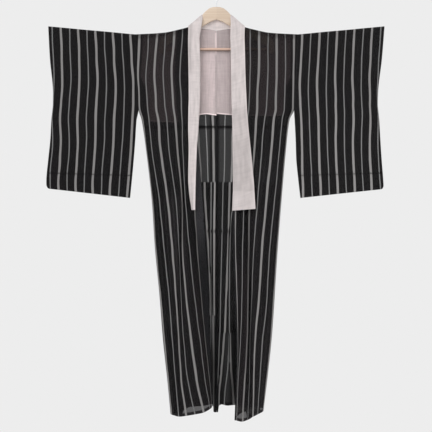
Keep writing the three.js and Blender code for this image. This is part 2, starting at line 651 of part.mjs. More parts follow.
function collarFrontSection(side, row) {
  const sign = SIGN[side];
  const edgeY = frontY(side, FRONT_WIDTH, row.z);
  const seamDepth = row.lap ? min(edgeY, frontYAtX(side, row.seam, row.z)) : edgeY;
  const endLift = row === COLLAR_FRONT[side][0] ? COLLAR_END_SLOPE[side] : 0;
  const seam = V(sign * row.seam, seamDepth - row.lap, row.z);
  const fold = V(sign * row.fold, edgeY - row.rise, row.z);
  const edge = V(sign * row.edge, frontYAtX(side, row.edge, row.z) - row.rest, row.z + endLift);
  return foldedSection(seam, fold, edge);
}

function collarNeckSection(side, row) {
  const place = ([x, y, z]) => V(SIGN[side] * x, y, z);
  return foldedSection(place(row.seam), place(row.fold), place(row.edge));
}

// The whole collar, from the wearer's right end round the neck to the left end
function collarGrid() {
  const half = (side) => [
    ...COLLAR_FRONT[side].map((row) => collarFrontSection(side, row)),
    ...COLLAR_NECK.map((row) => collarNeckSection(side, row)),
  ];
  const right = half('right');
  const left = half('left').slice(0, -1).reverse();
  return [...right, ...left];
}

// ================================================================ linings
const LINING_SHARES = Array.from({ length: PANEL_STRIPS }, (_, i) => (i + 1) / PANEL_STRIPS);

function shoulderLiningGrid(side) {
  const { top, hemCentre, hemSide } = SHOULDER_LINING;
  const row = (height) => LINING_SHARES.map((s) => backPoint(side, s, height(s)));
  return [
    row((s) => backTopZ(s) - top),
    ...ARMHOLE_ROWS.map((z) => row(() => z)),
    row((s) => mix(hemSide, hemCentre, s)),
  ];
}

function seatLiningGrid(side) {
  return SEAT_ROWS.map((z) => LINING_SHARES.map((s) => backPoint(side, s, z)));
}

// Lining on the inside of a back: the panel's points moved toward the fronts
function liningOn(side, grid) {
  return cloth(movedGrid(grid, SIGN[side] * LINING_RISE));
}

// ================================================================ coat hanger
const wasm = await Module();
wasm.setup();

// Solid of a closed mesh, its points merged by their places
function toSolid(geometry) {
  const source = geometry.index ? geometry.toNonIndexed() : geometry;
  const position = source.getAttribute('position');
  const found = new Map();
  const vertices = [];
  const triangles = [];
  for (let i = 0; i < position.count; i += 1) {
    const xyz = [position.getX(i), position.getY(i), position.getZ(i)].map((v) => Math.fround(v));
    const key = xyz.map((v) => Math.round(v * 1e4)).join(' ');
    if (!found.has(key)) {
      found.set(key, vertices.length / 3);
      vertices.push(...xyz);
    }
    triangles.push(found.get(key));
  }
  const real = [];
  for (let i = 0; i < triangles.length; i += 3) {
    const [a, b, c] = triangles.slice(i, i + 3);
    if (a !== b && b !== c && a !== c) real.push(a, b, c);
  }
  const mesh = new wasm.Mesh({
    numProp: 3,
    vertProperties: new Float32Array(vertices),
    triVerts: new Uint32Array(real),
  });
  return new wasm.Manifold(mesh);
}

function toGeometry(solid) {
  const mesh = solid.getMesh();
  const geometry = new THREE.BufferGeometry();
  geometry.setAttribute('position', new THREE.BufferAttribute(Float32Array.from(mesh.vertProperties), 3));
  geometry.setIndex(new THREE.BufferAttribute(Uint32Array.from(mesh.triVerts), 1));
  geometry.computeVertexNormals();
  return geometry;
}

function cylinderAlong(axis, radius, length, sides) {
  const geometry = new THREE.CylinderGeometry(radius, radius, length, sides);
  if (axis === 'x') geometry.rotateZ(PI / 2);
  if (axis === 'z') geometry.rotateX(PI / 2);
  return geometry;
}

function hangerBody() {
  const mirrored = (points) => points.filter(([x]) => x > 0).map(([x, z]) => [-x, z]).reverse();
  const half = [...HANGER_TOP, ...HANGER_ARM_END, ...HANGER_UNDER];
  const outline = [...half, ...mirrored(half)];
  const shape = new THREE.Shape(outline.map(([x, z]) => new THREE.Vector2(x, z)));
  const plate = new THREE.ExtrudeGeometry(shape, {
    depth: HANGER_THICK - 2 * HANGER_ROUND,
    bevelEnabled: true,
    bevelThickness: HANGER_ROUND,
    bevelSize: HANGER_ROUND,
    bevelOffset: -HANGER_ROUND,
    bevelSegments: 3,
  });
  plate.translate(0, 0, -HANGER_THICK / 2 + HANGER_ROUND);
  plate.rotateX(PI / 2);
  const socket = cylinderAlong('x', SOCKET_R, 2 * SOCKET_END, 20);
  socket.translate(0, 0, BAR_Z);
  const bore = cylinderAlong('z', HOOK_WIRE_R + SEAM, 40, 12);
  bore.translate(0, 0, HOOK_SHANK_END - SEAM + 20);
  return toGeometry(toSolid(plate).subtract(toSolid(socket)).subtract(toSolid(bore)));
}

function hangerBar() {
  const bar = cylinderAlong('x', BAR_R, 2 * BAR_END, 20);
  bar.translate(0, 0, BAR_Z);
  return bar;
}

function hangerHook() {
  const radius = HOOK_INNER_R + HOOK_WIRE_R;
  const centreZ = -HOOK_INNER_R;
  const onRing = (degrees) => {
    const angle = (degrees * PI) / 180;
    return V(radius * cos(angle), 0, centreZ + radius * sin(angle));
  };
  const shank = [HOOK_SHANK_END, ...HOOK_SHANK].map((z) => V(0, 0, z));
  const points = [...shank, V(HOOK_NECK[0], 0, HOOK_NECK[1])];
  for (let degrees = HOOK_START_ANGLE; degrees <= HOOK_TIP_ANGLE; degrees += HOOK_ANGLE_STEP) {
    points.push(onRing(degrees));
  }
  const path = new THREE.CatmullRomCurve3(points);
  const section = new THREE.Shape();
  section.absarc(0, 0, HOOK_WIRE_R, 0, 2 * PI, false);
  return new THREE.ExtrudeGeometry(section, { steps: 44, curveSegments: 4, extrudePath: path });
}

// ================================================================ the garment
const LOOK = {
  stripedCloth: { color: 0x242325, roughness: 0.86, metalness: 0 },
  stripedInside: { color: 0x38363a, roughness: 0.86, metalness: 0 },
  whiteSilk: { color: 0xcfc4c3, roughness: 0.8, metalness: 0 },
  sheerWhite: { color: 0xbdb0b0, roughness: 0.8, metalness: 0 },
  wood: { color: 0xd4c3b0, roughness: 0.5, metalness: 0 },
  barWood: { color: 0xc8ab9b, roughness: 0.45, metalness: 0 },
  steel: { color: 0xc9ccd0, roughness: 0.25, metalness: 1 },
};

const group = new THREE.Group();

function addPiece(name, geometry, look) {
  const mesh = new THREE.Mesh(geometry, new THREE.MeshStandardMaterial(LOOK[look]));
  mesh.name = name;
  group.add(mesh);
}

['right', 'left'].forEach((side) => {
  addPiece(`body_${side}`, cloth(bodyGrid(side)), 'stripedCloth');
  addPiece(`overlap_${side}`, cloth(overlapGrid(side)), 'stripedInside');
  addPiece(`sleeve_${side}`, sleeve(side), 'stripedCloth');
  addPiece(`shoulder_lining_${side}`, liningOn(side, shoulderLiningGrid(side)), 'sheerWhite');
  addPiece(`seat_lining_${side}`, liningOn(side, seatLiningGrid(side)), 'stripedInside');
});

const collarMiddle = collarGrid();
addPiece('collar', cloth(collarMiddle), 'stripedInside');
addPiece('collar_lining', cloth(movedGrid(collarMiddle, -LAYER)), 'whiteSilk');
addPiece('hanger_body', hangerBody(), 'wood');
addPiece('hanger_bar', hangerBar(), 'barWood');
addPiece('hanger_hook', hangerHook(), 'steel');

export default group;
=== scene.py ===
"""Looks of an unlined striped summer kimono hanging open on a wooden coat hanger.

Tables and surfaces are worked out in millimetres, as in the part's source, and become
metres where a mesh is made. +Z is up, the kimono faces -Y, X = 0 is the centre back seam.
"right" and "left" are the wearer's: the wearer's right is at -X. Every cloth piece is a
thin shell around a middle surface that follows the form of its CAD solid.
"""

import math

import bpy
import numpy as np
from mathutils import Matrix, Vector


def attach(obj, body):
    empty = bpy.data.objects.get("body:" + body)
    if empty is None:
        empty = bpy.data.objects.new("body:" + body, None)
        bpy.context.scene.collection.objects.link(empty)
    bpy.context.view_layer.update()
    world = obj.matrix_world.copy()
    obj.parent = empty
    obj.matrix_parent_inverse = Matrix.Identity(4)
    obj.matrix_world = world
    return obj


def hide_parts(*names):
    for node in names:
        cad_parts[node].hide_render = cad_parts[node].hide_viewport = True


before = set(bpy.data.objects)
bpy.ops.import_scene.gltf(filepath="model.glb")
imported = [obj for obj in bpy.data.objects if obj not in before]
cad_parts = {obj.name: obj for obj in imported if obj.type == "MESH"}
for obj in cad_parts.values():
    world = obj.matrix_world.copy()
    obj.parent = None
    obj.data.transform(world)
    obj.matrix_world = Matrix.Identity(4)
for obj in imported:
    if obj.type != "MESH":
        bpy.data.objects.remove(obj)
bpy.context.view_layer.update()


def pair(right, left):
    """Values of the wearer's right and left side."""
    return {"right": right, "left": left}


# ---- sizes, millimetres
MM = 0.001
SIGN = pair(-1, 1)
SIDES = ("right", "left")
SOLID_WALL = 1.0  # wall of the CAD solids
SEAM = 0.3  # gap between two sewn solids
CLOTH = 0.5  # thickness of one layer of the real cloth
STRIP_CLOTH = 0.4  # thickness of the doubled allowances
FRONT_WIDTH = 221
SHOULDER_BEND = 11
NECK_POINT = 93
NECK_BACK = 88
NECK_DROP_Z = -158
BACK_TOP_DROP = 34  # from the neck to the side, along the top row of the back
ARMHOLE_TOP_Z = -174
ARMHOLE_Z = -445
OPENING_Z = -466  # above it the sleeve's free edge lies against the side seam
ARMHOLE_GAP = 0.5
CENTRE_SEAM_X = 0.2
CENTRE_FLAT = 0.08
BACK_EDGE_TURN = 16
FOLD_GROWTH = 1.3
HEM_LEVEL = -1640  # height of the tables' last section
LAST_LEVEL = -1504  # below it the cloth runs straight to its own hem
HEM = 11  # depth of the sewn hems
HEM_ROWS_BAND = 16  # rows are finer this close to a hem
OVERLAP_BEND = 2.4
OVERLAP_BACK_Y = -13
OVERLAP_EASE = 26
OVERLAP_LEAST = 5
OVERLAP_HEM_LIFT = pair(4, -2)
SLEEVE_BELLY = 10
SLEEVE_BOTTOM_BEND = 3.5
SLEEVE_BOTTOM_OPEN = 120  # from the bottom fold to where the layers are fully apart
SLEEVE_ROUND = 12  # radius of the outer bottom corner
COLLAR_BEND = 2.3
COLLAR_LAP = 3.4  # the collar lies this far before the front, below the armhole
COLLAR_LAP_Z = (-426, -460)
COLLAR_TOP_Z = -190
LINING_RISE = 1.6
LINING_FROM = 0.03  # the linings stop short of the side seams
SHOULDER_LINING_LEVEL = -482
SEAT_LINING_TOP = -742
SEAT_LINING_END = pair(-1258, -1325)

STATIONS = np.array([0, 17, 51, 85, 119, 153, 187, 221], float)  # cloth from the side seam
DEPTH_STATIONS = np.array([0, 17, 51, 119, 221], float)


def table(names, *rows):
    """Rows of numbers as named columns."""
    return dict(zip(names.split(), np.array(rows, float).T))


def sides(names, right, left):
    return pair(table(names, *right), table(names, *left))


def both(names, *rows):
    """Tables of both sides from rows of a height, the right values and the left ones."""
    return sides(names, [(z, *right) for z, right, _ in rows], [(z, *left) for z, _, left in rows])


FRONT_X = both("z side u17 u51 u85 u119 u153 u187 u221",
    (-174, (313.3, 296, 261, 228, 195, 162, 130, 93), (313.3, 298, 264, 231, 198, 164, 129, 93)),
    (-272, (311.3, 295, 261, 229, 195, 163, 131, 94), (308, 296, 263, 230, 196, 161, 128, 94)),
    (-368, (307.8, 295, 263, 231, 197, 165, 133, 96), (305, 295, 262, 228, 194, 158, 126, 96)),
    (-445, (302.3, 297, 265, 231, 198, 165, 134, 97), (300, 294, 261, 227, 192, 156, 124, 97)),
    (-466, (299.9, 295, 263.5, 230, 196, 163.5, 133.5, 97.7),
     (298.3, 293, 260.5, 226.5, 190.5, 155.5, 123, 96)),
    (-503, (288, 284, 258, 224, 190, 158, 132, 99), (281, 279, 252, 219, 184, 152, 119, 92)),
    (-619, (271, 269, 248, 214, 182, 149, 129, 100), (267, 265, 241, 210, 173, 145, 113, 83)),
    (-811, (249, 247, 219, 187, 155, 132, 119, 83), (250, 248, 222, 191, 157, 128, 105, 71)),
    (-1004, (235.5, 234, 200, 168, 143, 130, 102, 71), (234.5, 233, 203, 173, 142, 123, 99, 71)),
    (-1196, (218, 214.5, 180, 154, 135, 114, 82, 55), (223, 220, 192, 161, 134, 120, 97, 77)),
    (-1350, (206, 201, 169, 144, 125, 96, 62, 41), (212, 209, 176, 147, 128, 117, 91, 81)),
    (-1504, (189.5, 186, 157, 134, 109, 75, 43, 25), (195.5, 193, 165, 142, 126, 107, 82, 79)),
    (-1640, (177, 174, 144, 116, 82, 49, 24, 17), (181, 179, 157, 139, 120, 99, 77, 75)),
)
FRONT_Y = both("z side u17 u51 u119 u221",
    (-185, (-11, -11, -11, -11, -11), (-11, -11, -11, -11, -11)),
    (-300, (-9, -10, -11.5, -13, -14), (-9, -10, -11.5, -13, -14)),
    (-445, (-3.6, -7, -12, -17, -19), (-3.6, -7, -12, -17, -19)),
    (-503, (-0.65, -8, -16, -21, -23), (-0.65, -8, -16, -22, -24)),
    (-619, (-0.65, -11, -24, -31, -33), (-0.65, -12, -26, -33, -34)),
    (-811, (-0.65, -12, -30, -38, -41), (-0.65, -13, -31, -40, -42)),
    (-1004, (-0.65, -12, -32, -42, -45), (-0.65, -13, -33, -43, -46)),
    (-1350, (2.35, -9, -29, -44, -50), (2.35, -10, -34, -48, -54)),
    (-1640, (4.35, -6, -25, -45, -46), (4.35, -8, -36, -52, -57)),
)
CREASE = both("z at depth width",
    (-445, (168, 0, 16), (136, 0, 16)), (-619, (168, 8, 16), (137, 9, 16)),
    (-811, (168, 14, 16), (158, 14, 18)), (-1004, (138, 15, 17), (146, 17, 18)),
    (-1196, (118, 14, 18), (134, 21, 17)), (-1350, (105, 12, 22), (130, 24, 19)),
    (-1504, (96, 8, 26), (124, 27, 24)), (-1640, (98, 5, 30), (124, 30, 29)),
)
OVERLAP = both("z fold reach",
    (-503, (85, 101), (81, 99)), (-619, (69, 108), (68, 106)), (-811, (54, 128), (62, 134)),
    (-1004, (41, 138), (63, 150)), (-1196, (28.5, 140), (68.5, 162)),
    (-1350, (23.5, 138), (75, 168)), (-1504, (18.5, 134), (73.5, 170)),
    (-1640, (12.5, 130), (68.5, 168)),
)
COLLAR_FRONT = both("z seam fold rise edge rest",
    (-850, (89, 84, 44, 93.5, 4), (74, 61, 9, 148, 15)),
    (-792, (89.5, 83, 40, 102, 4), (74, 63.5, 9, 145, 12)),
    (-734, (90, 81.5, 36, 106.5, 4), (75, 64.5, 10, 141.5, 9)),
    (-619, (91, 77, 27, 105, 4), (78, 63, 12, 130.5, 5)),
    (-542, (91, 71, 18, 107.5, 4), (84, 62, 12, 122.5, 4)),
    (-460, (92, 66, 13, 107, 3.5), (90, 60, 13, 116, 3.5)),
    (-426, (95.9, 64.5, 12, 106, 3.5), (95.9, 59, 12, 114.5, 3.5)),
    (-330, (94.2, 63.7, 12, 106.8, 3), (94.2, 57.5, 12, 110.5, 3)),
    (-234, (92.7, 65, 11, 108.6, 3), (92.7, 56, 11, 108.5, 3)),
    (-190, (92.2, 66.5, 10, 109, 3), (92.2, 54.5, 10, 107, 3)),
)
SHOULDER_LINE = table("x z",
    (88, -138.5), (112, -147), (143, -155), (200, -167), (313, -174),
)
BACK_Y = table("z middle edge",
    (-185, 11, 11), (-300, 11, 9), (-445, 12, 3.6), (-503, 13, 0.65), (-619, 15, 0.65),
    (-811, 18, 0.65), (-1004, 22, 0.65), (-1350, 30, 3.65), (-1640, 35, 5.65),
)
SLEEVE_GAP = table("z inner outer",
    (-140, 11, 8), (-185, 11, 8), (-300, 9, 8), (-366, 6.5, 5), (-386, 5.8, 0.65),
    (-445, 3.6, 0.65), (-620, 5, 0.65), (-804, 4, 0.65),
)
SLEEVE_LEVELS = table("inner outer",
    (-196, -172), (-272, -250), (-340, -320), (-406, -366), (-445, -388), (-503, -455),
    (-580, -540), (-657, -620), (-713, -703), (-722, -712), (-786, -748),
)
# Sharp creases left by folding, with painted shade in them: across both sleeves, and across the seat lining
SLEEVE_CREASE = {"inner": -717.5, "outer": -707.5, "depth": 0.9, "width": 2.4}
SEAT_CREASE = {"z": -932, "depth": 1.0, "width": 5, "shift": 2.2}
# Folds of the half backs: place s from side seam to centre seam, width, depth, start
BACK_FOLDS = pair([
    (0.20, 0.10, -19, -620), (0.42, 0.11, 23, -700), (0.64, 0.10, -24, -760), (0.85, 0.08, 18, -900),
], [
    (0.17, 0.09, 16, -700), (0.36, 0.10, -23, -640), (0.56, 0.10, 24, -820), (0.77, 0.09, -26, -1180),
])
FRONT_HEM = pair(
    [-1634, -1636, -1641, -1637, -1630, -1622, -1608, -1601],
    [-1620, -1624, -1631, -1639, -1654, -1657, -1651, -1648],
)
# How much the hidden part of each overlap hangs short of the front, by distance from the
# centre seam
OVERLAP_SHORT = sides(
    "x rise",
    right=[(12, 4), (22, 15), (60, 23), (100, 28), (130, 26)],
    left=[(73, 0), (77, 14), (88, 25), (102, 33), (113, 33), (118, 4), (170, 4)],
)
# Height of the back hem at distances from the centre seam, which hangs in a small fold
BACK_HEM = sides("x z", right=[
    (0, -1635), (12, -1634), (14, -1598), (60, -1603), (101, -1615), (129, -1627), (133, -1640),
    (190, -1634),
], left=[
    (0, -1633), (7, -1635), (9, -1608), (20, -1603), (50, -1605), (68, -1609), (110, -1614),
    (190, -1616),
])
# Lower edge of the shoulder linings at distances from the centre seam
SHOULDER_LINING_HEM = sides(
    "x z",
    right=[(0, -485), (40, -479.5), (70, -483.5), (170, -512), (310, -506)],
    left=[(0, -478.5), (57, -483.5), (165, -487), (217, -488), (310, -480)],
)
# Stripes of a half back and of its seat lining: their cloth places from the centre seam,
# and the distances a, b, c, d at which they hang; the seam takes up "start" of cloth
STRIPE_ANCHORS = pair((9, 43, 77), (33, 67, 101, 135))
STRIPE_HALF = 5  # half the width that a stripe keeps where the cloth is gathered
BACK_STRIPES = pair(table("z start a b c",
    (-158, 0, 9, 43, 77), (-482, 0, 15, 43, 75), (-560, 0, 12.3, 39, 71),
    (-620, 0, 12, 36.5, 67.5), (-700, 0, 11.5, 33, 62.5), (-1290, 0, 12.5, 22, 40),
    (-1640, 0, 12.5, 20, 36),
), table("z start a b c d",
    (-158, 12, 33, 67, 101, 135), (-482, 12, 34, 66, 96, 130), (-560, 12, 31, 62, 93, 127),
    (-700, 12, 30.5, 59, 90, 124), (-1260, 12, 14, 33, 52, 57), (-1390, 14, 10, 26, 47, 53.5),
    (-1475, 22, 6.5, 18.5, 42, 57.5), (-1560, 39, 3, 10.8, 32, 63.5), (-1640, 39, 3, 9, 30, 68),
))
SEAT_STRIPES = sides("z start a b c", right=[
    (-742, 0, 7, 20.5, 46), (-796, 0, 8, 21, 45), (-1007, 0, 9.5, 21.5, 31),
    (-1177, 0, 10, 19, 24.5), (-1258, 0, 8.9, 17.6, 24.1),
], left=[
    (-742, 14, 25.5, 51, 84), (-796, 14, 24.6, 50, 76), (-870, 14, 23, 48, 58),
    (-1007, 14, 20, 44, 52), (-1177, 14, 16, 38, 50), (-1290, 14, 14, 33.5, 50),
    (-1325, 14, 13.5, 32, 50),
])
# Places where the stripes swing outward: cloth place, height, reach each way, distance
STRIPE_SWINGS = {
    "front_right": [(130, -312, 140, 90, 9.5), (20, -345, 45, 55, 4.5)],
    "front_left": [(130, -310, 130, 85, 2.5)],
    "sleeve_right": [(49, -450, 150, 125, 15.5), (170, -600, 130, 250, 4)],
    "sleeve_left": [(48, -440, 135, 122, 15), (190, -400, 60, 100, 3.5), (230, -760, 110, 90, 2)],
}

# Edges of the sleeves, and the distance at which the inner edge's thread would hang if
# the cloth were not drawn in at the armhole
SLEEVE = both("z inner outer thread",
    (-143, (302.6, 647, 318), (300.3, 646, 315)), (-272, (302.6, 640, 311), (300.3, 635.5, 309)),
    (-368, (302.6, 630.5, 304.5), (300.3, 624, 304.5)),
    (-445, (302.6, 630, 305.2), (300.3, 621, 307)), (-466, (300.4, 632, 306), (298.8, 623, 308.3)),
    (-503, (308, 636, 307.5), (301, 626.5, 310)), (-580, (313, 640, 311), (305, 631, 312.5)),
    (-657, (319, 648, 317), (307.5, 636, 314)), (-734, (326, 655, 323.5), (315, 642, 315.5)),
    (-804, (333, 652, 330), (323, 646, 318)),
)
SLEEVE_TOP_Z = (ARMHOLE_TOP_Z, -143)  # at the inner and the outer edge
SLEEVE_END_Z = pair((-803.5, -767), (-803.5, -769))
COLLAR_END_Z = pair(-850, -853)
COLLAR_END_SLOPE = pair((-792, 58, 0), (-792, 58, 7))  # from, over, rise
# Points of seam, fold and edge round the neck, from the front of the shoulder to the centre
COLLAR_NECK = [
    ((92, -9.6, -147), (56, -17, -124), (108, -15.5, -152)),
    ((91.8, 0, -139.6), (54.3, 0, -100.8), (108, 0, -142.8)),
    ((87.4, 10.3, -147.6), (52, 13, -101), (103, 16, -150)),
    ((60, 11.3, -151.2), (40, 16, -101.6), (72, 24, -152)),
    ((28, 11.4, -154.4), (19, 16.8, -102.6), (34, 26.5, -153)),
    ((0, 11.5, -157), (0, 17, -103), (0, 27, -153.5)),
]

# Smaller folds of the fronts: width, then points (cloth from the side seam, height,
# depth); + sinks in
FRONT_FOLDS = pair([
    (9, [(60, -560, 0), (66, -760, 2.5), (58, -1010, 3.2), (64, -1290, 1.5)]),
    (7, [(112, -470, 0), (108, -560, 1.8), (120, -700, 0)]),
    (8, [(200, -900, 0), (192, -1060, 2.4), (176, -1330, 3.0), (182, -1560, 1.4)]),
    (10, [(38, -1180, 0), (34, -1380, -2.6), (40, -1600, -3.6)]),
    (6, [(150, -1240, 0), (146, -1400, 2.0), (158, -1580, 0.6)]),
], [
    (8, [(52, -520, 0), (62, -690, 2.2), (70, -900, 2.8), (60, -1130, 0.6)]),
    (10, [(92, -940, 0), (86, -1180, -2.2), (74, -1440, -4.0), (70, -1620, -4.6)]),
    (7, [(190, -640, 0), (186, -800, 2.0), (196, -980, 0)]),
    (8, [(204, -1120, 0), (198, -1330, 2.6), (206, -1590, 1.2)]),
    (6, [(40, -1290, 0), (36, -1440, 2.4), (44, -1600, 1.2)]),
])
# Folds that both layers of a sleeve make together: place from the inner edge
SLEEVE_FOLDS = pair([
    (16, [(26, -470, 0), (34, -600, 3.0), (30, -760, 4.2)]),
    (12, [(120, -300, 0), (132, -480, -1.8), (128, -700, -3.0), (134, -800, -3.4)]),
    (18, [(230, -420, 0), (224, -600, 2.2), (236, -790, 3.4)]),
    (9, [(296, -380, 0), (290, -470, -2.2), (300, -640, 0)]),
], [
    (14, [(30, -460, 0), (24, -620, 2.6), (30, -780, 4.0)]),
    (13, [(100, -380, 0), (90, -560, -2.4), (98, -790, -3.2)]),
    (15, [(196, -300, 0), (206, -500, 1.8), (198, -780, 3.2)]),
    (10, [(288, -390, 0), (296, -520, -2.4), (286, -700, -0.6)]),
])

# Fineness of the surfaces
BODY_STRIPS = 64
FRONT_ROWS = [8, 24, 190, 54]  # from the hem up to the shoulder
YOKE_ROWS = 6
OVERLAP_ROWS = [200, 30]
OVERLAP_STRIPS = 36
SLEEVE_STRIPS = 76
SLEEVE_ROWS = 14  # between two levels
COLLAR_STRIPS = 12
COLLAR_ROWS = 460
LINING_ROWS = 110
LINING_S = np.linspace(LINING_FROM, 1, 57)  # places from the side seam to the centre
SEAM_ROWS = 240

# Unevenness of the cloth: depth, and size of its waves
FRONT_WAVE, BACK_WAVE, SLEEVE_WAVE = (1.6, 150), (1.8, 150), (2.0, 190)
FRONT_FREE = (-450, 350, 0.35, 1)  # folds grow down the cloth
BACK_FREE = (-520, 400, 0.3, 1)

# Widths and stripes of the cloth
STRIPE_PERIOD = 68
STRIPE_STRAY = (1.8, 90)
STRIPE_HALVES = (4.3, 2.2)  # half widths of the bold and the thin stripes
STRIPE_EDGES = (0.8, 0.7)  # how soft their edges are
BACK_WIDTH = pair(298, 288)  # cloth of a half back below the armhole
SLEEVE_WIDTH = 336
BODY_STRIPES = (17, 51)  # a bold and a thin one, from the side seam
SLEEVE_STRIPES = (49, 15)  # from the sleeve's outer edge
SLEEVE_CUT = pair(0, 1)  # cut further into the first stripe

# Colours, linear
GROUND = (0.0105, 0.0098, 0.0104)
BOLD_STRIPE = (0.245, 0.237, 0.234)
THIN_STRIPE = (0.183, 0.182, 0.182)
OVERLAP_GROUND = (0.018, 0.0175, 0.019)
PAINTED_LINING_LIGHT = (0.0138, 0.0098, 0.0106)  # painted light of the white lining seen through the fronts
HAZE = (0.0122, 0.0108, 0.0118)  # light caught by the ground of the fronts' skirt
SILK = (0.745, 0.676, 0.668)
SHEER = (0.91, 0.778, 0.778)
BACKDROP = 0.847

# Where the look of the cloth changes, with its painted light and shade. A change is (start,
# length, first value, last value) down the cloth or across it, a patch is (middle, reach).
TUCK = (-530, 3.6)  # waist tuck across the back, with a painted shadow
WAIST_TOP, WAIST_END = (-480, 10), (-738, 10, 1, 0)
WAIST_DOUBLE_RIGHT, WAIST_DOUBLE_LEFT = (-20, 5), (5, 8, 1, 0)
# Painted light on the waist of the back: a lighter stripe, and lighter cloth past WAIST_LIGHT_X
WAIST_STRIPE, WAIST_LIGHT_X = (-37, 9), 12
# Lower back: a darker zone with a lighter fold in it, and a band of painted shade beside the centre seam
LOW_BACK, LOW_BACK_LIGHT, LOW_SEAM_SHADE, LOW_SEAM_SHADE_TOP = (-1270, 60), (42, 20), (-22, 15), (-1330, 120)
# Painted shade in a crease of the left front
FRONT_CREASE_SHADE, CREASE_TOP, CREASE_END = (153, 9), (-800, 40), (-1380, 140, 1, 0)
# Painted shade along the top of a front, below the shoulder
TOP_EDGE_SHADE = (-26, 14)
# Patches of painted shade on the fronts: their start across and down, how much painted shade, and how much
# painted light of the lining they add
FRONT_SHADES = pair(
    [((204, 8), (-780, 100), 0.3, 0), ((172, 10), (-980, 200), 0.1, 0.5)],
    [((140, 20), (-950, 200), 0, 0.4)],
)
FRONT_GAIN_FROM = (-420, 120)
FRONT_GAIN = pair(0, 0.06)  # how much lighter a front is lower down, painted light
# Painted light caught by a skirt's ground: changes down the cloth, then changes across it
SKIRT_HAZE = pair(
    [(-740, 90), (-980, 400, 1.4, 0.65), (40, 60, 0, 0.55), (165, 20, 1, 0)],
    [(-600, 160), (-1120, 250, 0.75, 1.35), (80, 40, 0.4, 0.7), (150, 25, 1, 0)],
)
FRONT_LINING_END = pair(-511, -487)
ARMHOLE_WIDTH = (-330, 60, 22, 44)  # closer strip beside the armhole
COLLAR_OVER = pair((158, 14), (170, 17))  # where the turned collar lies over a front
HEM_LAYERS, TUCK_LAYERS, SEAM_LAYERS, LOW_BACK_LAYERS = 1.6, 2.0, 0.7, 1.3
BACK_LAYERS = 1.55  # how much closer the back's cloth is
SEAT_LAYERS = 0.8
SLEEVE_LAYERS = pair(1.3, 1.0)
# Painted light and shade as factors on the colour: lighter or darker down the sleeves and overlaps, and a
# lightness for each side of the seat and shoulder linings
SLEEVE_TONE = pair((-200, 450, 1.0, 1.0), (-200, 450, 1.05, 1.15))
OVERLAP_TONE = pair((-780, 320, 3.05, 0.85), (-780, 320, 1.3, 1.0))
SEAT_TONE = pair(1.34, 1.22)
LINING_TONE = pair(1.07, 0.89)
COLLAR_SHADE_X = pair(64, 55)  # where the collar's painted shadow lies on the lining
# Painted shade on the lapels, changing down each; the right one is lighter below, the left one has a
# lighter band at its end
COLLAR_SHADES = pair(
    [(-560, 80, 0.04, -0.06)],
    [(-450, 24, 0, 0.13), (-540, 90, 0, 0.06), (-775, 7, 0, -0.12)],
)


# ---- helpers
def smooth_at(xs, ys, x):
    """Smooth curve through ys at rising places xs, or through one row of ys for each x."""
    xs, last = np.asarray(xs, float), len(xs) - 1
    x = np.clip(np.asarray(x, float), xs[0], xs[-1])
    i = np.clip(np.searchsorted(xs, x, side="right") - 1, 0, last - 1)
    ys = np.broadcast_to(np.asarray(ys, float), (*x.shape, last + 1))

    def value(k):
        return np.take_along_axis(ys, k[..., None], -1)[..., 0]

    def slope(k):
        a, b = np.maximum(0, k - 1), np.minimum(last, k + 1)
        return (value(b) - value(a)) / (xs[b] - xs[a])

    h = xs[i + 1] - xs[i]
    t = (x - xs[i]) / h
    t2, t3 = t * t, t * t * t
    return (
        (2 * t3 - 3 * t2 + 1) * value(i) + (t3 - 2 * t2 + t) * h * slope(i)
        + (3 * t2 - 2 * t3) * value(i + 1) + (t3 - t2) * h * slope(i + 1)
    )


def column(rows, name, z):
    """Named column of a table whose rows go down from the top, at heights z."""
    return smooth_at(-rows["z"], rows[name], -np.asarray(z, float))


def station(rows, stations, u, z):
    """Value at cloth places u and heights z of a table with a column for each station."""
    u, z = np.broadcast_arrays(u, z)
    values = np.stack([column(rows, name, z) for name in rows if name != "z"], axis=-1)
    return smooth_at(stations, values, u)


def mix(a, b, t):
    return a + (b - a) * t


def ramp(t):
    """0 to 1 with soft ends."""
    t = np.clip(t, 0, 1)
    return t * t * (3 - 2 * t)


def below(z, start, length, first=0, last=1):
    """Soft change from first to last, going down a length from height start."""
    return mix(first, last, ramp((start - z) / length))


def past(place, start, length, first=0, last=1):
    """Soft change from first to last, going a length on from start."""
    return mix(first, last, ramp((place - start) / length))


def bump(x, centre, width):
    return np.exp(-((x - centre) / width) ** 2)


def bend(first, last, step):
    """Cosines and sines round a bend, between two angles in degrees."""
    angles = [math.radians(degrees) for degrees in range(first, last, step)]
    return [(math.cos(angle), math.sin(angle)) for angle in angles]


def normals(grid, closed=False):
    """Directions across a grid of points, one for each point; rows, columns, xyz."""
    if closed:
        across = np.roll(grid, -1, axis=1) - np.roll(grid, 1, axis=1)
    else:
        across = np.gradient(grid, axis=1)
    along = np.gradient(grid, axis=0)
    n = np.cross(across, along)
    return n / np.maximum(np.linalg.norm(n, axis=-1, keepdims=True), 1e-9)


def spread(keys, steps):
    """Heights between key rows; steps are the rows in each stretch."""
    rows, keys = [], np.broadcast_arrays(*keys)
    for a, b, n in zip(keys, keys[1:], steps):
        rows += [mix(a, b, i / n) for i in range(n)]
    return np.array(rows + [keys[-1]])


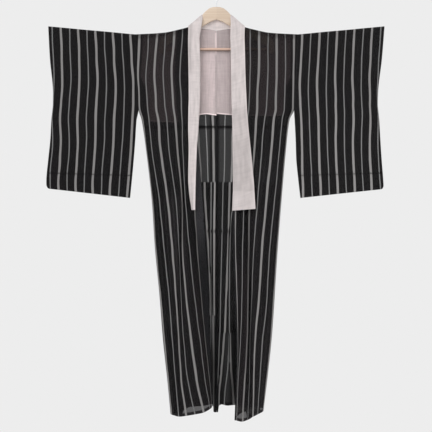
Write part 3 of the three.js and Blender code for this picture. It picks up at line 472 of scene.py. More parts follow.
def folds_at(folds, a, z):
    """Sum of soft folds at cloth places a and heights z. A fold has a width and a line of
    points (place, height, depth); its depth fades out past its ends."""
    total = np.zeros(np.broadcast(a, z).shape)
    for width, line in folds:
        best = np.zeros_like(total)
        for (a0, z0, d0), (a1, z1, d1) in zip(line, line[1:]):
            da, dz = a1 - a0, z1 - z0
            t = np.clip(((a - a0) * da + (z - z0) * dz) / (da * da + dz * dz), 0, 1)
            off = np.hypot(a - (a0 + t * da), (z - (z0 + t * dz)) * 0.6)
            here = mix(d0, d1, t) * bump(off, 0, width)
            best = np.where(np.abs(here) > np.abs(best), here, best)
        total += best
    return total


def waves(seed, a, z, depth, size, long=4.0):
    """Low unevenness of the cloth, longer down the cloth than across it."""
    rng = np.random.default_rng(seed)
    total = np.zeros(np.broadcast(a, z).shape)
    count = 7
    for _ in range(count):
        kx, kz = rng.uniform(0.5, 1.6), rng.uniform(-1, 1) / long
        phase = rng.uniform(0, 2 * math.pi)
        total += np.sin(2 * math.pi * (kx * a + kz * z) / size + phase)
    return depth * total / count


def tremble(seed, across, z):
    """How far the stripes stray from an even course."""
    return waves(seed, across, z, *STRIPE_STRAY, long=1.0)


# ---- surfaces
def points_at(side, x, y, z):
    return np.stack(np.broadcast_arrays(SIGN[side] * x, y, z), -1)


def shoulder_z(x):
    return smooth_at(SHOULDER_LINE["x"], SHOULDER_LINE["z"], x)


def front_x(side, u, z):
    return station(FRONT_X[side], STATIONS, u, z)


def side_x(side, z):
    """Distance of the side seam from the centre."""
    return front_x(side, 0, z)


def front_y(side, u, z):
    rows = CREASE[side]
    crease = column(rows, "depth", z) * bump(u, column(rows, "at", z), column(rows, "width", z))
    return station(FRONT_Y[side], DEPTH_STATIONS, u, z) + crease + front_detail(side, u, z)


def front_y_at_x(side, x, z):
    """Depth of the front at a distance x from the centre, found by halving."""
    low, high = 0.0 * x, FRONT_WIDTH + 0.0 * x
    for _ in range(24):
        u = (low + high) / 2
        outside = front_x(side, u, z) > x
        low, high = np.where(outside, u, low), np.where(outside, high, u)
    return front_y(side, low, z)


def back_x(side, s, z):
    return mix(side_x(side, z), CENTRE_SEAM_X, s)


def back_y(side, s, z):
    middle, edge = column(BACK_Y, "middle", z), column(BACK_Y, "edge", z)
    y = middle + (edge - middle) * np.exp(-side_x(side, z) * s / BACK_EDGE_TURN)
    for place, width, depth, start in BACK_FOLDS[side]:
        grown = np.clip((start - z) / (start - HEM_LEVEL), 0, 1) ** FOLD_GROWTH
        y = y + depth * grown * bump(s, place, width) * np.clip((1 - s) / CENTRE_FLAT, 0, 1)
    return y + back_detail(side, s, z)


def back_top_z(s):
    return NECK_DROP_Z - BACK_TOP_DROP * (1 - s) ** 0.5


def table_level(z, hem):
    """Height at which the tables are read, for cloth between the last section and its hem."""
    low = LAST_LEVEL + (z - LAST_LEVEL) * (HEM_LEVEL - LAST_LEVEL) / (hem - LAST_LEVEL)
    return np.where(z < LAST_LEVEL, low, z)


def front_detail(side, u, z):
    """Smaller folds and unevenness of a front; it fades out at the sewn edges."""
    hold = ramp(u / 30) * ramp((FRONT_WIDTH - u) / 25 + 0.25)
    folds = folds_at(FRONT_FOLDS[side], u, z) + waves(SIGN[side] + 5, u, z, *FRONT_WAVE)
    return hold * below(z, *FRONT_FREE) * folds


def back_detail(side, s, z):
    hold = ramp(s / 0.12) * ramp((1 - s) / 0.06)
    return hold * below(z, *BACK_FREE) * waves(SIGN[side] + 11, s * 300, z, *BACK_WAVE)


def sleeve_sway(side, p, z):
    """How far both layers of a sleeve swing out together."""
    place = p * SLEEVE_WIDTH
    folds = folds_at(SLEEVE_FOLDS[side], place, z) + waves(SIGN[side] + 21, place, z, *SLEEVE_WAVE)
    return ramp(p / 0.12) * folds


def body_surface(side):
    """Front and half back in one piece, from the front hem over the shoulder to the back
    hem: points, cloth place across, distance above the hem, and 0 on the front to 1 on
    the back."""
    t = np.linspace(0, 1, BODY_STRIPS + 1)
    u = t * FRONT_WIDTH
    top_x = shoulder_ends(side, u)[1]
    hem = smooth_at(STATIONS, FRONT_HEM[side], u)
    shoulder = shoulder_z(top_x) - SHOULDER_BEND
    z = spread([hem, hem + HEM_ROWS_BAND, LAST_LEVEL, ARMHOLE_Z, shoulder], FRONT_ROWS)
    level = table_level(z, hem)
    front = points_at(side, front_x(side, u, level), front_y(side, u, level), z)
    front_across = u + swing("front_" + side, u, z)

    degrees = np.arange(15, 181, 15)
    arc = np.array([shoulder_row(side, t, d) for d in degrees])
    turned = past(degrees[:, None], 60, 120)
    top_cloth = back_cloth(side, np.abs(arc[..., 0]), NECK_DROP_Z, BACK_STRIPES)
    arc_across = mix(u + 0 * turned, top_cloth, turned)

    yoke = yoke_rows(side, t)
    yoke_across = back_cloth(side, np.abs(yoke[..., 0]), NECK_DROP_Z, BACK_STRIPES)
    back_hem = np.interp(back_x(side, t, HEM_LEVEL), BACK_HEM[side]["x"], BACK_HEM[side]["z"])
    keys = [back_top_z(t), ARMHOLE_Z, LAST_LEVEL, back_hem + HEM_ROWS_BAND, back_hem]
    z_back = spread(keys, FRONT_ROWS[::-1])
    back = back_point(side, t, z_back, table_level(z_back, back_hem))
    back_across = back_cloth(side, np.abs(back[..., 0]), z_back, BACK_STRIPES)

    grid = np.concatenate([front, arc, yoke, back])
    across = np.concatenate([front_across, arc_across, yoke_across, back_across])
    far_from_hems = np.full((len(arc) + len(yoke), len(t)), 1e3)
    above = np.concatenate([z - hem, far_from_hems, z_back - back_hem])
    behind = np.concatenate([0 * z, turned + 0 * u, 1 + 0 * yoke[..., 0], 1 + 0 * z_back])
    return grid, across, above, behind


def shoulder_ends(side, u):
    """Distance of the armhole and of cloth places u from the centre, on the shoulder."""
    outer = side_x(side, ARMHOLE_TOP_Z)
    return outer, np.minimum(outer, front_x(side, u, ARMHOLE_TOP_Z))


def shoulder_row(side, t, degrees):
    outer, top_x = shoulder_ends(side, t * FRONT_WIDTH)
    inner = mix(NECK_POINT, NECK_BACK, max(0, degrees - 90) / 90)
    x = mix(outer, inner, t) if degrees > 90 else top_x
    angle = math.radians(degrees)
    z = shoulder_z(x) - SHOULDER_BEND * (1 - math.sin(angle))
    return points_at(side, x, -SHOULDER_BEND * math.cos(angle), z)


def yoke_rows(side, t):
    """Rows between the back of the shoulder and the first whole row of the back."""
    upper, lower = shoulder_row(side, t, 180), back_point(side, t, back_top_z(t))
    return np.array([mix(upper, lower, i / YOKE_ROWS) for i in range(1, YOKE_ROWS)])


def back_point(side, s, z, level=None):
    level = z if level is None else level
    return points_at(side, back_x(side, s, level), back_y(side, s, level), z)


def back_cloth(side, x, z, stripes):
    """Cloth place from the side seam, at a distance x from the centre of a half back. Each
    stripe keeps its width where it hangs, and the cloth between two is spread evenly."""
    rows, z = stripes[side], np.asarray(z, float) + 0 * x
    hung = [column(rows, name, z) for name in rows if name not in ("z", "start")]
    last = side_x(side, z)
    start = column(rows, "start", z)
    knots, places = [0 * x], [start]
    for k, middle in enumerate(hung):
        before = hung[k - 1] if k else -0.7 * middle
        room = np.minimum(middle - before, (hung[k + 1:] + [last])[0] - middle)
        half = np.clip(0.46 * room, 0.8, 0.9 * STRIPE_HALF)
        knots += [middle - half, middle + half]
        places += [STRIPE_ANCHORS[side][k] - STRIPE_HALF, STRIPE_ANCHORS[side][k] + STRIPE_HALF]
    knots.append(last)
    places.append(BACK_WIDTH[side])
    cloth = start
    for k in range(len(knots) - 1):
        share = (x - knots[k]) / np.maximum(knots[k + 1] - knots[k], 0.5)
        cloth = cloth + (places[k + 1] - places[k]) * np.clip(share, 0, 1)
    return BACK_WIDTH[side] - np.maximum(cloth, start)


def swing(piece, u, z):
    """How far the stripes swing outward."""
    total = np.zeros(np.broadcast(u, z).shape)
    for at_u, at_z, reach_u, reach_z, distance in STRIPE_SWINGS[piece]:
        total += distance * bump(u, at_u, reach_u) * bump(z, at_z, reach_z)
    return total


def overlap_surface(side):
    """Overlap panel from its seam to its fold and back behind the front: points, and
    distance above the hem."""
    rows = OVERLAP[side]
    hem = float(smooth_at(STATIONS, FRONT_HEM[side], FRONT_WIDTH)) + OVERLAP_HEM_LIFT[side]
    z = spread([rows["z"][0], LAST_LEVEL, hem], OVERLAP_ROWS)
    level = table_level(z, hem)
    seam_x = front_x(side, FRONT_WIDTH, level) - SEAM - SOLID_WALL / 2
    seam_y = front_y(side, FRONT_WIDTH, level)
    fold_x = np.minimum(column(rows, "fold", level), seam_x - OVERLAP_BEND - 1)
    bend_x = fold_x + OVERLAP_BEND
    section = [(mix(seam_x, bend_x, k / 4), seam_y - 0.2 * (k > 0)) for k in range(4)]
    for cos, sin in bend(0, 181, 30):
        section.append((bend_x - OVERLAP_BEND * sin, seam_y + OVERLAP_BEND * (1 - cos)))
    behind = seam_y + 2 * OVERLAP_BEND
    hidden_y = np.maximum(OVERLAP_BACK_Y, behind)
    reach = np.maximum(column(rows, "reach", level) - bend_x, OVERLAP_LEAST)
    for k in range(1, OVERLAP_STRIPS + 1):
        distance = (k / OVERLAP_STRIPS) ** 1.2 * reach
        eased = 1 - np.exp(-1.6 * (distance / OVERLAP_EASE) ** 2)
        section.append((bend_x + distance, mix(behind, hidden_y, eased)))
    x, y = (np.stack(values, axis=1) for values in zip(*section))
    short = OVERLAP_SHORT[side]
    hems = front_hem_at_x(side, x[-1]) + np.interp(x[-1], short["x"], short["rise"])
    hems[:8] = hem
    low = np.clip((LAST_LEVEL - z) / (LAST_LEVEL - hem), 0, 1)[:, None]
    z_rows = z[:, None] + low * (hems - hem)
    return points_at(side, x, y, z_rows), z_rows - hems


def front_hem_at_x(side, x):
    u = np.linspace(FRONT_WIDTH, 0, 60)
    return np.interp(x, front_x(side, u, HEM_LEVEL), smooth_at(STATIONS, FRONT_HEM[side], u))


def sleeve_gap(p, z):
    edge = mix(column(SLEEVE_GAP, "inner", z), column(SLEEVE_GAP, "outer", z), p)
    return mix(edge, np.maximum(edge, SLEEVE_BELLY), 4 * p * (1 - p))


def sleeve_crease(p, z):
    """1 on the crease across a sleeve, 0 away from it."""
    return bump(z, mix(SLEEVE_CREASE["inner"], SLEEVE_CREASE["outer"], p), SLEEVE_CREASE["width"])


def sleeve_surface(side):
    """Loops round the sleeve, one for each place across it: up the front, over the
    shoulder fold, down the back and under the bottom fold."""
    rows = SLEEVE[side]
    p = np.linspace(0, 1, SLEEVE_STRIPS + 1)
    top, end = mix(*SLEEVE_TOP_Z, p), mix(*SLEEVE_END_Z[side], p)
    into_corner = np.clip(1 - (1 - p) * SLEEVE_WIDTH / SLEEVE_ROUND, 0, 1)
    end = end + SLEEVE_ROUND * (1 - np.sqrt(1 - into_corner ** 2))
    top_bend = sleeve_gap(p, top)
    end_bend = np.minimum(SLEEVE_BOTTOM_BEND, sleeve_gap(p, end))

    def layer(z, y):
        inner = np.where(z < OPENING_Z, column(rows, "inner", z), side_x(side, z) + ARMHOLE_GAP)
        x = mix(inner, column(rows, "outer", z), p)
        return points_at(side, x, y + sleeve_sway(side, p, z), z)

    def fold(z, radius):
        return np.array([layer(z - radius + radius * sin, -radius * cos) for cos, sin in bend(20, 180, 20)])

    keys = [end + end_bend]
    for inner, outer in zip(SLEEVE_LEVELS["inner"][::-1], SLEEVE_LEVELS["outer"][::-1]):
        keys.append(mix(inner, outer, p))
    keys.append(top - top_bend)
    levels = spread(keys, [5] + [SLEEVE_ROWS] * (len(keys) - 3) + [6])
    y = mix(end_bend, sleeve_gap(p, levels), np.clip((levels - end) / SLEEVE_BOTTOM_OPEN, 0, 1))
    y = y - SLEEVE_CREASE["depth"] * sleeve_crease(p, levels)
    loop = [layer(levels, -y), fold(top, top_bend), layer(levels, y)[::-1], fold(end, -end_bend)]
    grid = np.concatenate(loop).transpose(1, 0, 2)
    outer, thread = (column(rows, name, grid[..., 2]) for name in ("outer", "thread"))
    place = SLEEVE_WIDTH * (outer - np.abs(grid[..., 0])) / (outer - thread)
    across = place + SLEEVE_CUT[side] + swing("sleeve_" + side, place, grid[..., 2])
    return grid, across


def folded_section(seam, fold, edge):
    """Sections of cloth folded at a point, for rows of seam, fold and edge points."""
    def unit(v):
        return v / np.linalg.norm(v, axis=-1, keepdims=True)

    to_seam, to_edge = unit(seam - fold), unit(edge - fold)
    inward = unit(to_seam + to_edge)
    across = unit(to_seam - inward * (to_seam * inward).sum(-1, keepdims=True))
    centre = fold + inward * COLLAR_BEND
    turn = [centre + across * COLLAR_BEND * cos - inward * COLLAR_BEND * sin
            for cos, sin in bend(0, 181, 20)]
    inner = [mix(seam, turn[0], k / COLLAR_STRIPS) for k in range(COLLAR_STRIPS)]
    outer = [mix(turn[-1], edge, k / COLLAR_STRIPS) for k in range(1, COLLAR_STRIPS + 1)]
    return np.stack(inner + turn + outer, axis=1)


def collar_front_rows(side):
    """Seam, fold and edge points of the collar on a front, from its end to the shoulder."""
    lap_top, lap_end = COLLAR_LAP_Z
    lapped, sewn = np.linspace(COLLAR_END_Z[side], lap_end, 40), np.linspace(lap_top, COLLAR_TOP_Z, 24)
    z = np.concatenate([lapped, sewn])
    rows = COLLAR_FRONT[side]
    seam, fold, edge, rise, rest = (
        smooth_at(rows["z"], rows[name], z) for name in ("seam", "fold", "edge", "rise", "rest"))
    edge_y = front_y(side, FRONT_WIDTH, z)
    lap = np.interp(-z, [-lap_top, -lap_end], [0, COLLAR_LAP])
    seam_y = np.where(lap > 0, np.minimum(edge_y, front_y_at_x(side, seam, z)), edge_y)
    slope_from, slope_over, end_rise = COLLAR_END_SLOPE[side]
    lift = end_rise * np.clip((slope_from - z) / slope_over, 0, 1)
    return np.stack([
        points_at(side, seam, seam_y - lap, z),
        points_at(side, fold, edge_y - rise, z),
        points_at(side, edge, front_y_at_x(side, edge, z) - rest, z + lift),
    ], axis=1)


def collar_surface():
    """The whole collar, from the wearer's right end round the neck to the left end."""
    neck = np.array(COLLAR_NECK)
    halves = [np.concatenate([collar_front_rows(side), neck * [SIGN[side], 1, 1]]) for side in SIDES]
    lines = np.concatenate([halves[0], halves[1][:-1][::-1]])
    step = np.linalg.norm(np.diff(lines[:, 0], axis=0), axis=-1)
    at = np.concatenate([[0], np.cumsum(step)])
    fine = np.linspace(0, at[-1], COLLAR_ROWS)
    smooth = [np.stack([smooth_at(at, lines[:, k, i], fine) for i in range(3)], -1) for k in range(3)]
    return folded_section(*smooth)


def lining_surface(side, top, end, stripes, yoke=False):
    """Lining on the inside of a half back; top and end are heights at the places s."""
    grid = back_point(side, LINING_S, spread([top + 0 * LINING_S, end], [LINING_ROWS]))
    if yoke:
        grid = np.concatenate([yoke_rows(side, LINING_S), grid])
    grid = grid + normals(grid) * SIGN[side] * LINING_RISE
    return grid, back_cloth(side, np.abs(grid[..., 0]), grid[..., 2], stripes)


# ---- meshes
def linked(name, data):
    obj = bpy.data.objects.new(name, data)
    bpy.context.scene.collection.objects.link(obj)
    return obj


def shell(name, grid, cloth, node=None, thickness=CLOTH, closed=False, **values_at):
    """Thin closed shell around a middle surface, in place of a CAD node if one is named.
    Values at its points: across and down are cloth places in mm for stripes and weave,
    layers how many layers of cloth lie there, tone a factor on the colour that is mostly
    painted light and shade, and the last two how much painted light of the white lining
    shows through the cloth and how much painted light the ground catches."""
    rows, cols = grid.shape[:2]
    n = normals(grid, closed)
    half = (thickness + np.zeros((rows, cols)))[..., None] / 2
    points = np.concatenate([grid + n * half, grid - n * half]).reshape(-1, 3)
    count = rows * cols
    index = np.arange(count).reshape(rows, cols)
    if closed:
        index = np.concatenate([index, index[:, :1]], axis=1)
    corners = [index[:-1, :-1], index[:-1, 1:], index[1:, 1:], index[1:, :-1]]
    outside = np.stack(corners, -1).reshape(-1, 4)
    faces = [outside, outside[:, ::-1] + count]
    rims = [index[0], index[-1][::-1]]
    if not closed:
        rims += [index[:, 0][::-1], index[:, -1]]
    for rim in rims:
        faces.append(np.stack([rim[1:], rim[:-1], rim[:-1] + count, rim[1:] + count], -1))
    mesh = bpy.data.meshes.new(name)
    mesh.from_pydata((points * MM).tolist(), [], np.concatenate(faces).tolist())
    for key, usual in (("across", 0), ("down", 0), ("layers", 1), ("tone", 1), ("warm", 0), ("haze", 0)):
        data = np.broadcast_to(values_at.get(key, usual), (2, rows, cols)).astype(np.float32)
        mesh.attributes.new(key, "FLOAT", "POINT").data.foreach_set("value", data.ravel())
    mesh.polygons.foreach_set("use_smooth", np.ones(len(mesh.polygons), bool))
    mesh.set_sharp_from_angle(angle=math.radians(50))
    material, slot = cloth
    mesh.materials.append(material)
    obj = linked(name, mesh)
    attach(obj, "root")
    if node:
        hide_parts(node)
    return obj


# ---- materials
class Nodes:
    """Short way to add and join shader nodes."""

    def __init__(self, name):
        self.material = bpy.data.materials.new(name)
        self.material.use_nodes = True
        self.tree = self.material.node_tree
        self.shader = self.tree.nodes["Principled BSDF"]

    def add(self, kind, *inputs, **settings):
        node = self.tree.nodes.new(kind)
        for key, value in settings.items():
            setattr(node, key, value)
        for i, value in enumerate(inputs):
            self.put(node.inputs[i], value)
        return node

    def put(self, socket, value):
        if hasattr(value, "is_output"):
            self.tree.links.new(value, socket)
        else:
            socket.default_value = value

    def math(self, operation, *inputs):
        return self.add("ShaderNodeMath", *inputs, operation=operation).outputs[0]

    def product(self, a, b):
        return self.math("MULTIPLY", a, b)

    def line(self, value, slope, start):
        return self.math("MULTIPLY_ADD", value, slope, start)

    def value(self, attribute):
        return self.add("ShaderNodeAttribute", attribute_name=attribute).outputs["Fac"]

    def step(self, value, low, high):
        return self.add("ShaderNodeMapRange", value, low, high, 0.0, 1.0,
                        interpolation_type="SMOOTHSTEP", clamp=True).outputs[0]

    def threads(self, across_scale, down_scale):
        """Noise drawn out along the threads of the cloth."""
        across = self.product(self.value("across"), across_scale)
        down = self.product(self.value("down"), down_scale)
        place = self.add("ShaderNodeCombineXYZ", across, down, 0.0).outputs[0]
        return self.add("ShaderNodeTexNoise", place, noise_dimensions="2D").outputs["Fac"]

    def blend(self, share, a, b):
        node = self.add("ShaderNodeMix", data_type="RGBA")
        for socket, value in ((0, share), (6, a), (7, b)):
            self.put(node.inputs[socket], value)
        return node.outputs[2]

    def vary(self, share, colour, by):
        """A colour made darker by a part of it at share 0, and lighter at share 1."""
        return self.blend(share, *((*[c * (1 + way * by) for c in colour], 1) for way in (-1, 1)))

    def times(self, colour, amount):
        node = self.add("ShaderNodeVectorMath", colour, operation="SCALE")
        self.put(node.inputs["Scale"], amount)
        return node.outputs[0]

    def plus(self, a, b):
        return self.add("ShaderNodeVectorMath", a, b, operation="ADD").outputs[0]

    def let_through(self, through):
        """Share of light that one face of a shell lets pass, so that its two faces let
        pass what the layers of cloth do; through is the share for one layer."""
        return self.math("POWER", through, self.product(self.value("layers"), 0.5))

    def shade(self, **values):
        """The material, with these values or outputs on its shader."""
        for key, value in values.items():
            self.put(self.shader.inputs[key.replace("_", " ")], value)
        return self.material


def stripe(nodes, centre, half_width, soft):
    """1 on the stripes at centre + k periods, 0 between them."""
    shifted = nodes.math("SUBTRACT", nodes.value("across"), centre)
    off = nodes.math("PINGPONG", shifted, STRIPE_PERIOD / 2)
    return nodes.step(off, half_width + soft, half_width - soft)


def cloth_material(name, ground, through, stripes=None):
    """Sheer cloth; stripes are the places of a bold and of a thin one, and they take the
    cloth's tone twice."""
    nodes = Nodes(name)
    slub = nodes.threads(0.9, 0.012)
    colour = nodes.vary(slub, ground, 0.2)
    open_share = nodes.let_through(through)
    if stripes:
        uneven = nodes.line(slub, 0.5, 0.75)
        bold, thin = (nodes.product(stripe(nodes, *form), uneven)
                      for form in zip(stripes, STRIPE_HALVES, STRIPE_EDGES))
        # Painted light added to the ground: the white lining seen through, and light caught by the skirt
        for light, amount in ((PAINTED_LINING_LIGHT, "warm"), (HAZE, "haze")):
            colour = nodes.plus(colour, nodes.times(light, nodes.value(amount)))
        for share, stripe_colour in ((thin, THIN_STRIPE), (bold, BOLD_STRIPE)):
            colour = nodes.blend(share, colour, nodes.times(stripe_colour, nodes.value("tone")))
        close = nodes.math("MAXIMUM", bold, thin)
        open_share = nodes.product(open_share, nodes.line(close, -0.75, 1.0))
    return nodes.shade(Base_Color=nodes.times(colour, nodes.value("tone")), Roughness=0.85,
                        Specular_IOR_Level=0.1, Alpha=nodes.math("SUBTRACT", 1.0, open_share))


def silk_material(name, colour, through):
    nodes = Nodes(name)
    warp, weft = nodes.threads(0.03, 0.003), nodes.threads(0.005, 0.03)
    mottle = nodes.line(warp, 1.1, nodes.line(weft, 0.6, -0.35))
    shade = nodes.times(nodes.vary(mottle, colour, 0.17), nodes.value("tone"))
    return nodes.shade(Base_Color=shade, Roughness=0.6, Specular_IOR_Level=0.3, Sheen_Weight=0.1,
                        Alpha=nodes.math("SUBTRACT", 1.0, nodes.let_through(through)))


def wood_material(name, light, dark, under=0.0, half=0.0):
    """Oiled wood; under is how much painted shade darkens its downward faces, half how much
    darker the half at +X is."""
    nodes = Nodes(name)
    place = nodes.add("ShaderNodeTexCoord").outputs["Object"]
    grain_place = nodes.add("ShaderNodeMapping", place)
    grain_place.inputs["Scale"].default_value = (6, 60, 160)
    noise = nodes.add("ShaderNodeTexNoise", grain_place.outputs[0])
    noise.inputs["Scale"].default_value = 1.0
    noise.inputs["Detail"].default_value = 6.0
    lines = nodes.step(noise.outputs["Fac"], 0.35, 0.7)
    facing = nodes.add("ShaderNodeSeparateXYZ", nodes.add("ShaderNodeNewGeometry").outputs["Normal"])
    # Painted shade on faces that point down
    painted_underside_shade = nodes.step(facing.outputs["Z"], 0.1, -0.7)
    half_at = nodes.step(nodes.add("ShaderNodeSeparateXYZ", place).outputs["X"], -0.0015, 0.0015)
    shade = nodes.product(nodes.line(painted_underside_shade, -under, 1.0), nodes.line(half_at, -half, 1.0))
    grained = nodes.times(nodes.blend(lines, (*light, 1), (*dark, 1)), shade)
    return nodes.shade(Base_Color=grained, Roughness=0.42, Specular_IOR_Level=0.4,
                        Coat_Weight=0.15, Coat_Roughness=0.3)


# ---- cloth pieces
# Materials with their slots
STRIPED = cloth_material("striped_front_cloth", GROUND, 0.12, BODY_STRIPES), "striped_cloth"
SLEEVE_CLOTH = cloth_material("striped_sleeve_cloth", GROUND, 0.06, SLEEVE_STRIPES), "striped_cloth"
PLAIN = cloth_material("plain_overlap_cloth", OVERLAP_GROUND, 0.12), "striped_cloth"
WHITE_SILK = silk_material("white_silk_cloth", SILK, 0.02), "white_silk"
SHEER_WHITE = silk_material("sheer_white_cloth", SHEER, 0.22), "sheer_white"


def in_hem_at(above):
    """1 in a sewn hem, 0 above it."""
    return ramp((HEM - above) / 1.5 + 0.5)


def lining_seen_through(side, across, z):
    """How much painted light of the white lining shows through a front, and where seams and the
    collar's turned edge make the front closer above the lining's hem."""
    lined = ramp((z - FRONT_LINING_END[side]) / 6 + 0.5)
    armhole = past(across, below(z, *ARMHOLE_WIDTH), 12, 1, 0)
    right = side == "right"
    over = (past if right else bump)(across, *COLLAR_OVER[side])
    seams = lined * np.maximum(armhole, over * right)
    return lined * (1 - armhole) * (1 - 0.9 * over), seams


def body(side):
    grid, across, above, behind = body_surface(side)
    x, z = grid[..., 0], grid[..., 2]
    front = 1 - behind
    lining, seams = lining_seen_through(side, across, z)
    in_hem = in_hem_at(above)
    tuck = bump(z, *TUCK) * (behind == 1)
    low_back = behind * below(z, *LOW_BACK)
    waist = behind * below(z, *WAIST_TOP) * below(z, *WAIST_END)
    doubled = waist * (bump(x, *WAIST_DOUBLE_RIGHT) + (x > 0) * past(x, *WAIST_DOUBLE_LEFT))
    layers = 1 + HEM_LAYERS * in_hem + (BACK_LAYERS - 1) * behind + TUCK_LAYERS * tuck + doubled
    layers = layers + SEAM_LAYERS * seams * front
    layers = layers + low_back * (LOW_BACK_LAYERS - 0.9 * bump(x, *LOW_BACK_LIGHT))

    # Painted light and shade on the colour: the back, the lower left front and parts of the waist lighter
    tone = 1 + 0.2 * behind + front * FRONT_GAIN[side] * below(z, *FRONT_GAIN_FROM)
    tone = tone * (1 + waist * (0.25 * bump(x, *WAIST_STRIPE) + 0.1 * (x > WAIST_LIGHT_X)))
    top_edge_shade = front * past(z - shoulder_z(np.abs(x)), *TOP_EDGE_SHADE)
    low_seam_shade = behind * bump(x, *LOW_SEAM_SHADE) * below(z, *LOW_SEAM_SHADE_TOP)
    crease_shade = front * (side == "left") * bump(across, *FRONT_CREASE_SHADE)
    crease_shade = crease_shade * below(z, *CREASE_TOP) * below(z, *CREASE_END)
    # Painted shade: each mask, how much it darkens, and how much painted lining light it adds
    shades = [(tuck, 0.8, 0), (top_edge_shade, 0.25, 0), (low_seam_shade, 0.45, 0), (low_back, 0.08, 0)]
    shades.append((crease_shade, 0.2, 0.3))
    for from_across, from_z, shade, warmth in FRONT_SHADES[side]:
        shades.append((front * past(across, *from_across) * below(z, *from_z), shade, warmth))
    # Painted light of the white lining seen through the front, and more of it in some shade patches
    warm = front * lining
    for place, shade, warmth in shades:
        tone = tone * (1 - shade * place)
        warm = warm + warmth * place

    top, change, sets_in, ends = SKIRT_HAZE[side]
    haze = front * below(z, *top) * below(z, *change) * past(across, *sets_in) * past(across, *ends)
    across = across + tremble(SIGN[side] + 31, across, z + 90 * behind)
    obj = shell("body_%s_cloth" % side, grid, STRIPED, "body_" + side, CLOTH * (1 + 0.9 * in_hem),
                across=across, down=z, layers=layers, tone=tone, warm=warm, haze=haze)


def overlap(side):
    grid, above = overlap_surface(side)
    z = grid[..., 2]
    # Painted light: the overlap is lighter towards the top
    obj = shell("overlap_%s_cloth" % side, grid, PLAIN, "overlap_" + side,
                across=np.arange(grid.shape[1]) * 4.0, down=z,
                layers=1 + HEM_LAYERS * in_hem_at(above), tone=below(z, *OVERLAP_TONE[side]))


def sleeve(side):
    grid, across = sleeve_surface(side)
    z = grid[..., 2]
    p = np.linspace(0, 1, SLEEVE_STRIPS + 1)[:, None]
    # Painted light lower down the sleeve, and painted shade in the crease across it
    tone = below(z, *SLEEVE_TONE[side]) * (1 - 0.45 * sleeve_crease(p, z))
    across = across + tremble(SIGN[side] + 41, across, z)
    obj = shell("sleeve_%s_cloth" % side, grid, SLEEVE_CLOTH, "sleeve_" + side, closed=True,
                across=across, down=z, layers=SLEEVE_LAYERS[side], tone=tone)


def collar():
    middle = collar_surface()
    x, y, z = np.moveaxis(middle, -1, 0)
    steps = np.linalg.norm(np.diff(middle, axis=0, prepend=middle[:1]), axis=-1)
    across, down = np.linspace(0, 80, middle.shape[1]), np.cumsum(steps, axis=0)
    strip = np.arange(middle.shape[1])
    from_edge = strip - (middle.shape[1] - 1)
    # Painted highlight along the free edge and on the fold
    painted_edge_highlight = bump(from_edge, 0, 0.9) + 0.7 * bump(strip, COLLAR_STRIPS + 3, 2.5)
    right, left = (sum(below(z, *change) for change in COLLAR_SHADES[side]) for side in SIDES)
    # Painted shade along the upper edge of the right lapel
    right = right + 0.2 * past(from_edge, -4.5, 1.5) * past(z, -345, 40)
    # Painted light on the inside at the back of the neck
    tone = (1 - np.where(x > 0, left, right)) * (1 + 0.22 * painted_edge_highlight) * past(y, 4, 6, 1, 1.13)
    outside = shell("collar_cloth", middle, PLAIN, "collar", SOLID_WALL, across=across, down=down)
    inner = middle - (SOLID_WALL + SEAM) * normals(middle)
    lining = shell("collar_lining_silk", inner, WHITE_SILK, "collar_lining", SOLID_WALL,
                   across=across, down=down, tone=tone)


def shoulder_lining(side):
    hem = SHOULDER_LINING_HEM[side]
    end = np.interp(back_x(side, LINING_S, SHOULDER_LINING_LEVEL), hem["x"], hem["z"])
    grid, across = lining_surface(side, back_top_z(LINING_S), end, BACK_STRIPES, yoke=True)
    x, z = grid[..., 0], grid[..., 2]
    in_hem = ramp((4.5 - (z - end)) / 1.5)
    # Lighter in the hem; painted shade on the upper part, and a painted shadow of the collar along the
    # lining
    tone = (1 + 0.35 * in_hem) * past(z, -235, 30, 1, 0.81) * LINING_TONE[side]
    tone = tone * (1 - 0.2 * bump(np.abs(x), COLLAR_SHADE_X[side], 4))
    obj = shell("shoulder_lining_%s_silk" % side, grid, SHEER_WHITE, "shoulder_lining_" + side,
                CLOTH * (1 + in_hem), across=across, down=z, layers=1 + 1.5 * in_hem, tone=tone)


def seam_strip(name, x_ends, z_ends, y_off, cloth, tone):
    """Strip of doubled cloth along the centre seam, y_off from the back."""
    z, x = np.meshgrid(np.linspace(*z_ends, SEAM_ROWS), np.linspace(*x_ends, 7), indexing="ij")
    level = np.maximum(z, HEM_LEVEL)
    s = 1 - np.abs(x) / side_x("right", level)
    y = np.where(x < 0, back_y("right", s, level), back_y("left", s, level)) + y_off
    obj = shell(name, np.stack([x, y, z], -1), cloth, thickness=STRIP_CLOTH,
                across=x, down=z, layers=2.0, tone=tone(x, z))


def centre_seam():
    """Allowances of the centre seam, pressed open: of the cloth, and of the lining."""
    seam_strip("body_seam_cloth", (-4.5, 4.5), (-165, -1629), -0.75, PLAIN,
               lambda x, z: 0.7)
    seam_strip("shoulder_lining_seam_silk", (-6.5, 1.5), (-166, -478), -LINING_RISE - 0.9, SHEER_WHITE,
               lambda x, z: past(z, -262, 30, 0.66 + 0.1 * (x < -4), 0.93))


def seat_lining(side):
    grid, across = lining_surface(side, SEAT_LINING_TOP, SEAT_LINING_END[side], SEAT_STRIPES)
    z = grid[..., 2]
    crease = bump(z, SEAT_CREASE["z"], SEAT_CREASE["width"])
    grid[..., 1] -= SEAT_CREASE["depth"] * crease
    # Painted light on the seat lining, and painted shade in its crease
    obj = shell("seat_lining_%s_cloth" % side, grid, STRIPED, "seat_lining_" + side,
                across=across + SEAT_CREASE["shift"] * crease, down=z,
                layers=SEAT_LAYERS, tone=SEAT_TONE[side] * (1 - 0.3 * crease))


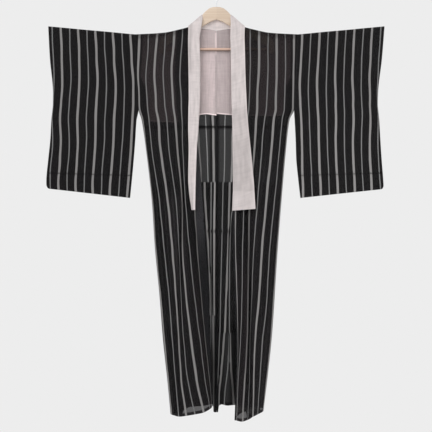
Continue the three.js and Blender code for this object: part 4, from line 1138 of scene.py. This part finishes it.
for side in SIDES:
    body(side)
    overlap(side)
    sleeve(side)
    shoulder_lining(side)
    seat_lining(side)
centre_seam()
collar()


# ---- coat hanger
WOOD = wood_material("hanger_wood_grain", (0.735, 0.60, 0.475), (0.665, 0.52, 0.395), half=0.05)
# The bar's lower side is darkened by painted shade
BAR_WOOD = wood_material("bar_wood_grain_and_painted_shade", (0.78, 0.555, 0.445), (0.67, 0.455, 0.355), under=0.62)
STEEL = Nodes("hook_steel_wire").shade(Base_Color=(0.55, 0.56, 0.58, 1), Metallic=1.0, Roughness=0.35)
for node, material, slot in (
    ("hanger_body", WOOD, "hanger_wood"),
    ("hanger_bar", BAR_WOOD, "bar_wood"),
    ("hanger_hook", STEEL, "hook_steel"),
):
    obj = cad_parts[node]
    obj.data.materials.clear()
    obj.data.materials.append(material)


# ---- floor, light, camera
FLOOR_Z = -2.0
MIDDLE = Vector((0, 0, -0.85))
LIGHT_SIZE = 2.0
CAMERA_AT = (-0.002, -4.5, -0.873)
FOCAL = 97.4

floor_mesh = bpy.data.meshes.new("floor")
floor_mesh.from_pydata([(-3, -3, FLOOR_Z), (3, -3, FLOOR_Z), (3, 1.5, FLOOR_Z), (-3, 1.5, FLOOR_Z)],
                       [], [(0, 1, 2, 3)])
floor = linked("floor", floor_mesh)
PAINT = Nodes("floor_paint").shade(Base_Color=(0.9, 0.9, 0.9, 1), Roughness=0.9, Specular_IOR_Level=0.1)
floor.data.materials.append(PAINT)


def area_light(name, place, watts):
    """Lamp that faces the middle of the kimono."""
    lamp = linked(name, bpy.data.lights.new(name, "AREA"))
    lamp.data.size = LIGHT_SIZE
    lamp.data.energy = watts
    lamp.location = place
    lamp.rotation_euler = (MIDDLE - lamp.location).to_track_quat("-Z", "Y").to_euler()


area_light("key_light", (-2.0, -3.2, 1.2), 38)
area_light("rim_light", (2.2, 2.6, 0.8), 14)

world = bpy.data.worlds.new("studio")
world.use_nodes = True
backdrop = world.node_tree.nodes["Background"]
backdrop.inputs["Color"].default_value = (BACKDROP, BACKDROP, BACKDROP, 1)
backdrop.inputs["Strength"].default_value = 1.0
scene = bpy.context.scene
scene.world = world
scene.view_settings.view_transform = "Standard"

camera = linked("camera", bpy.data.cameras.new("camera"))
camera.data.lens = FOCAL
camera.data.sensor_width = 36
camera.location = CAMERA_AT
camera.rotation_euler = (math.pi / 2, 0, 0)
scene.camera = camera
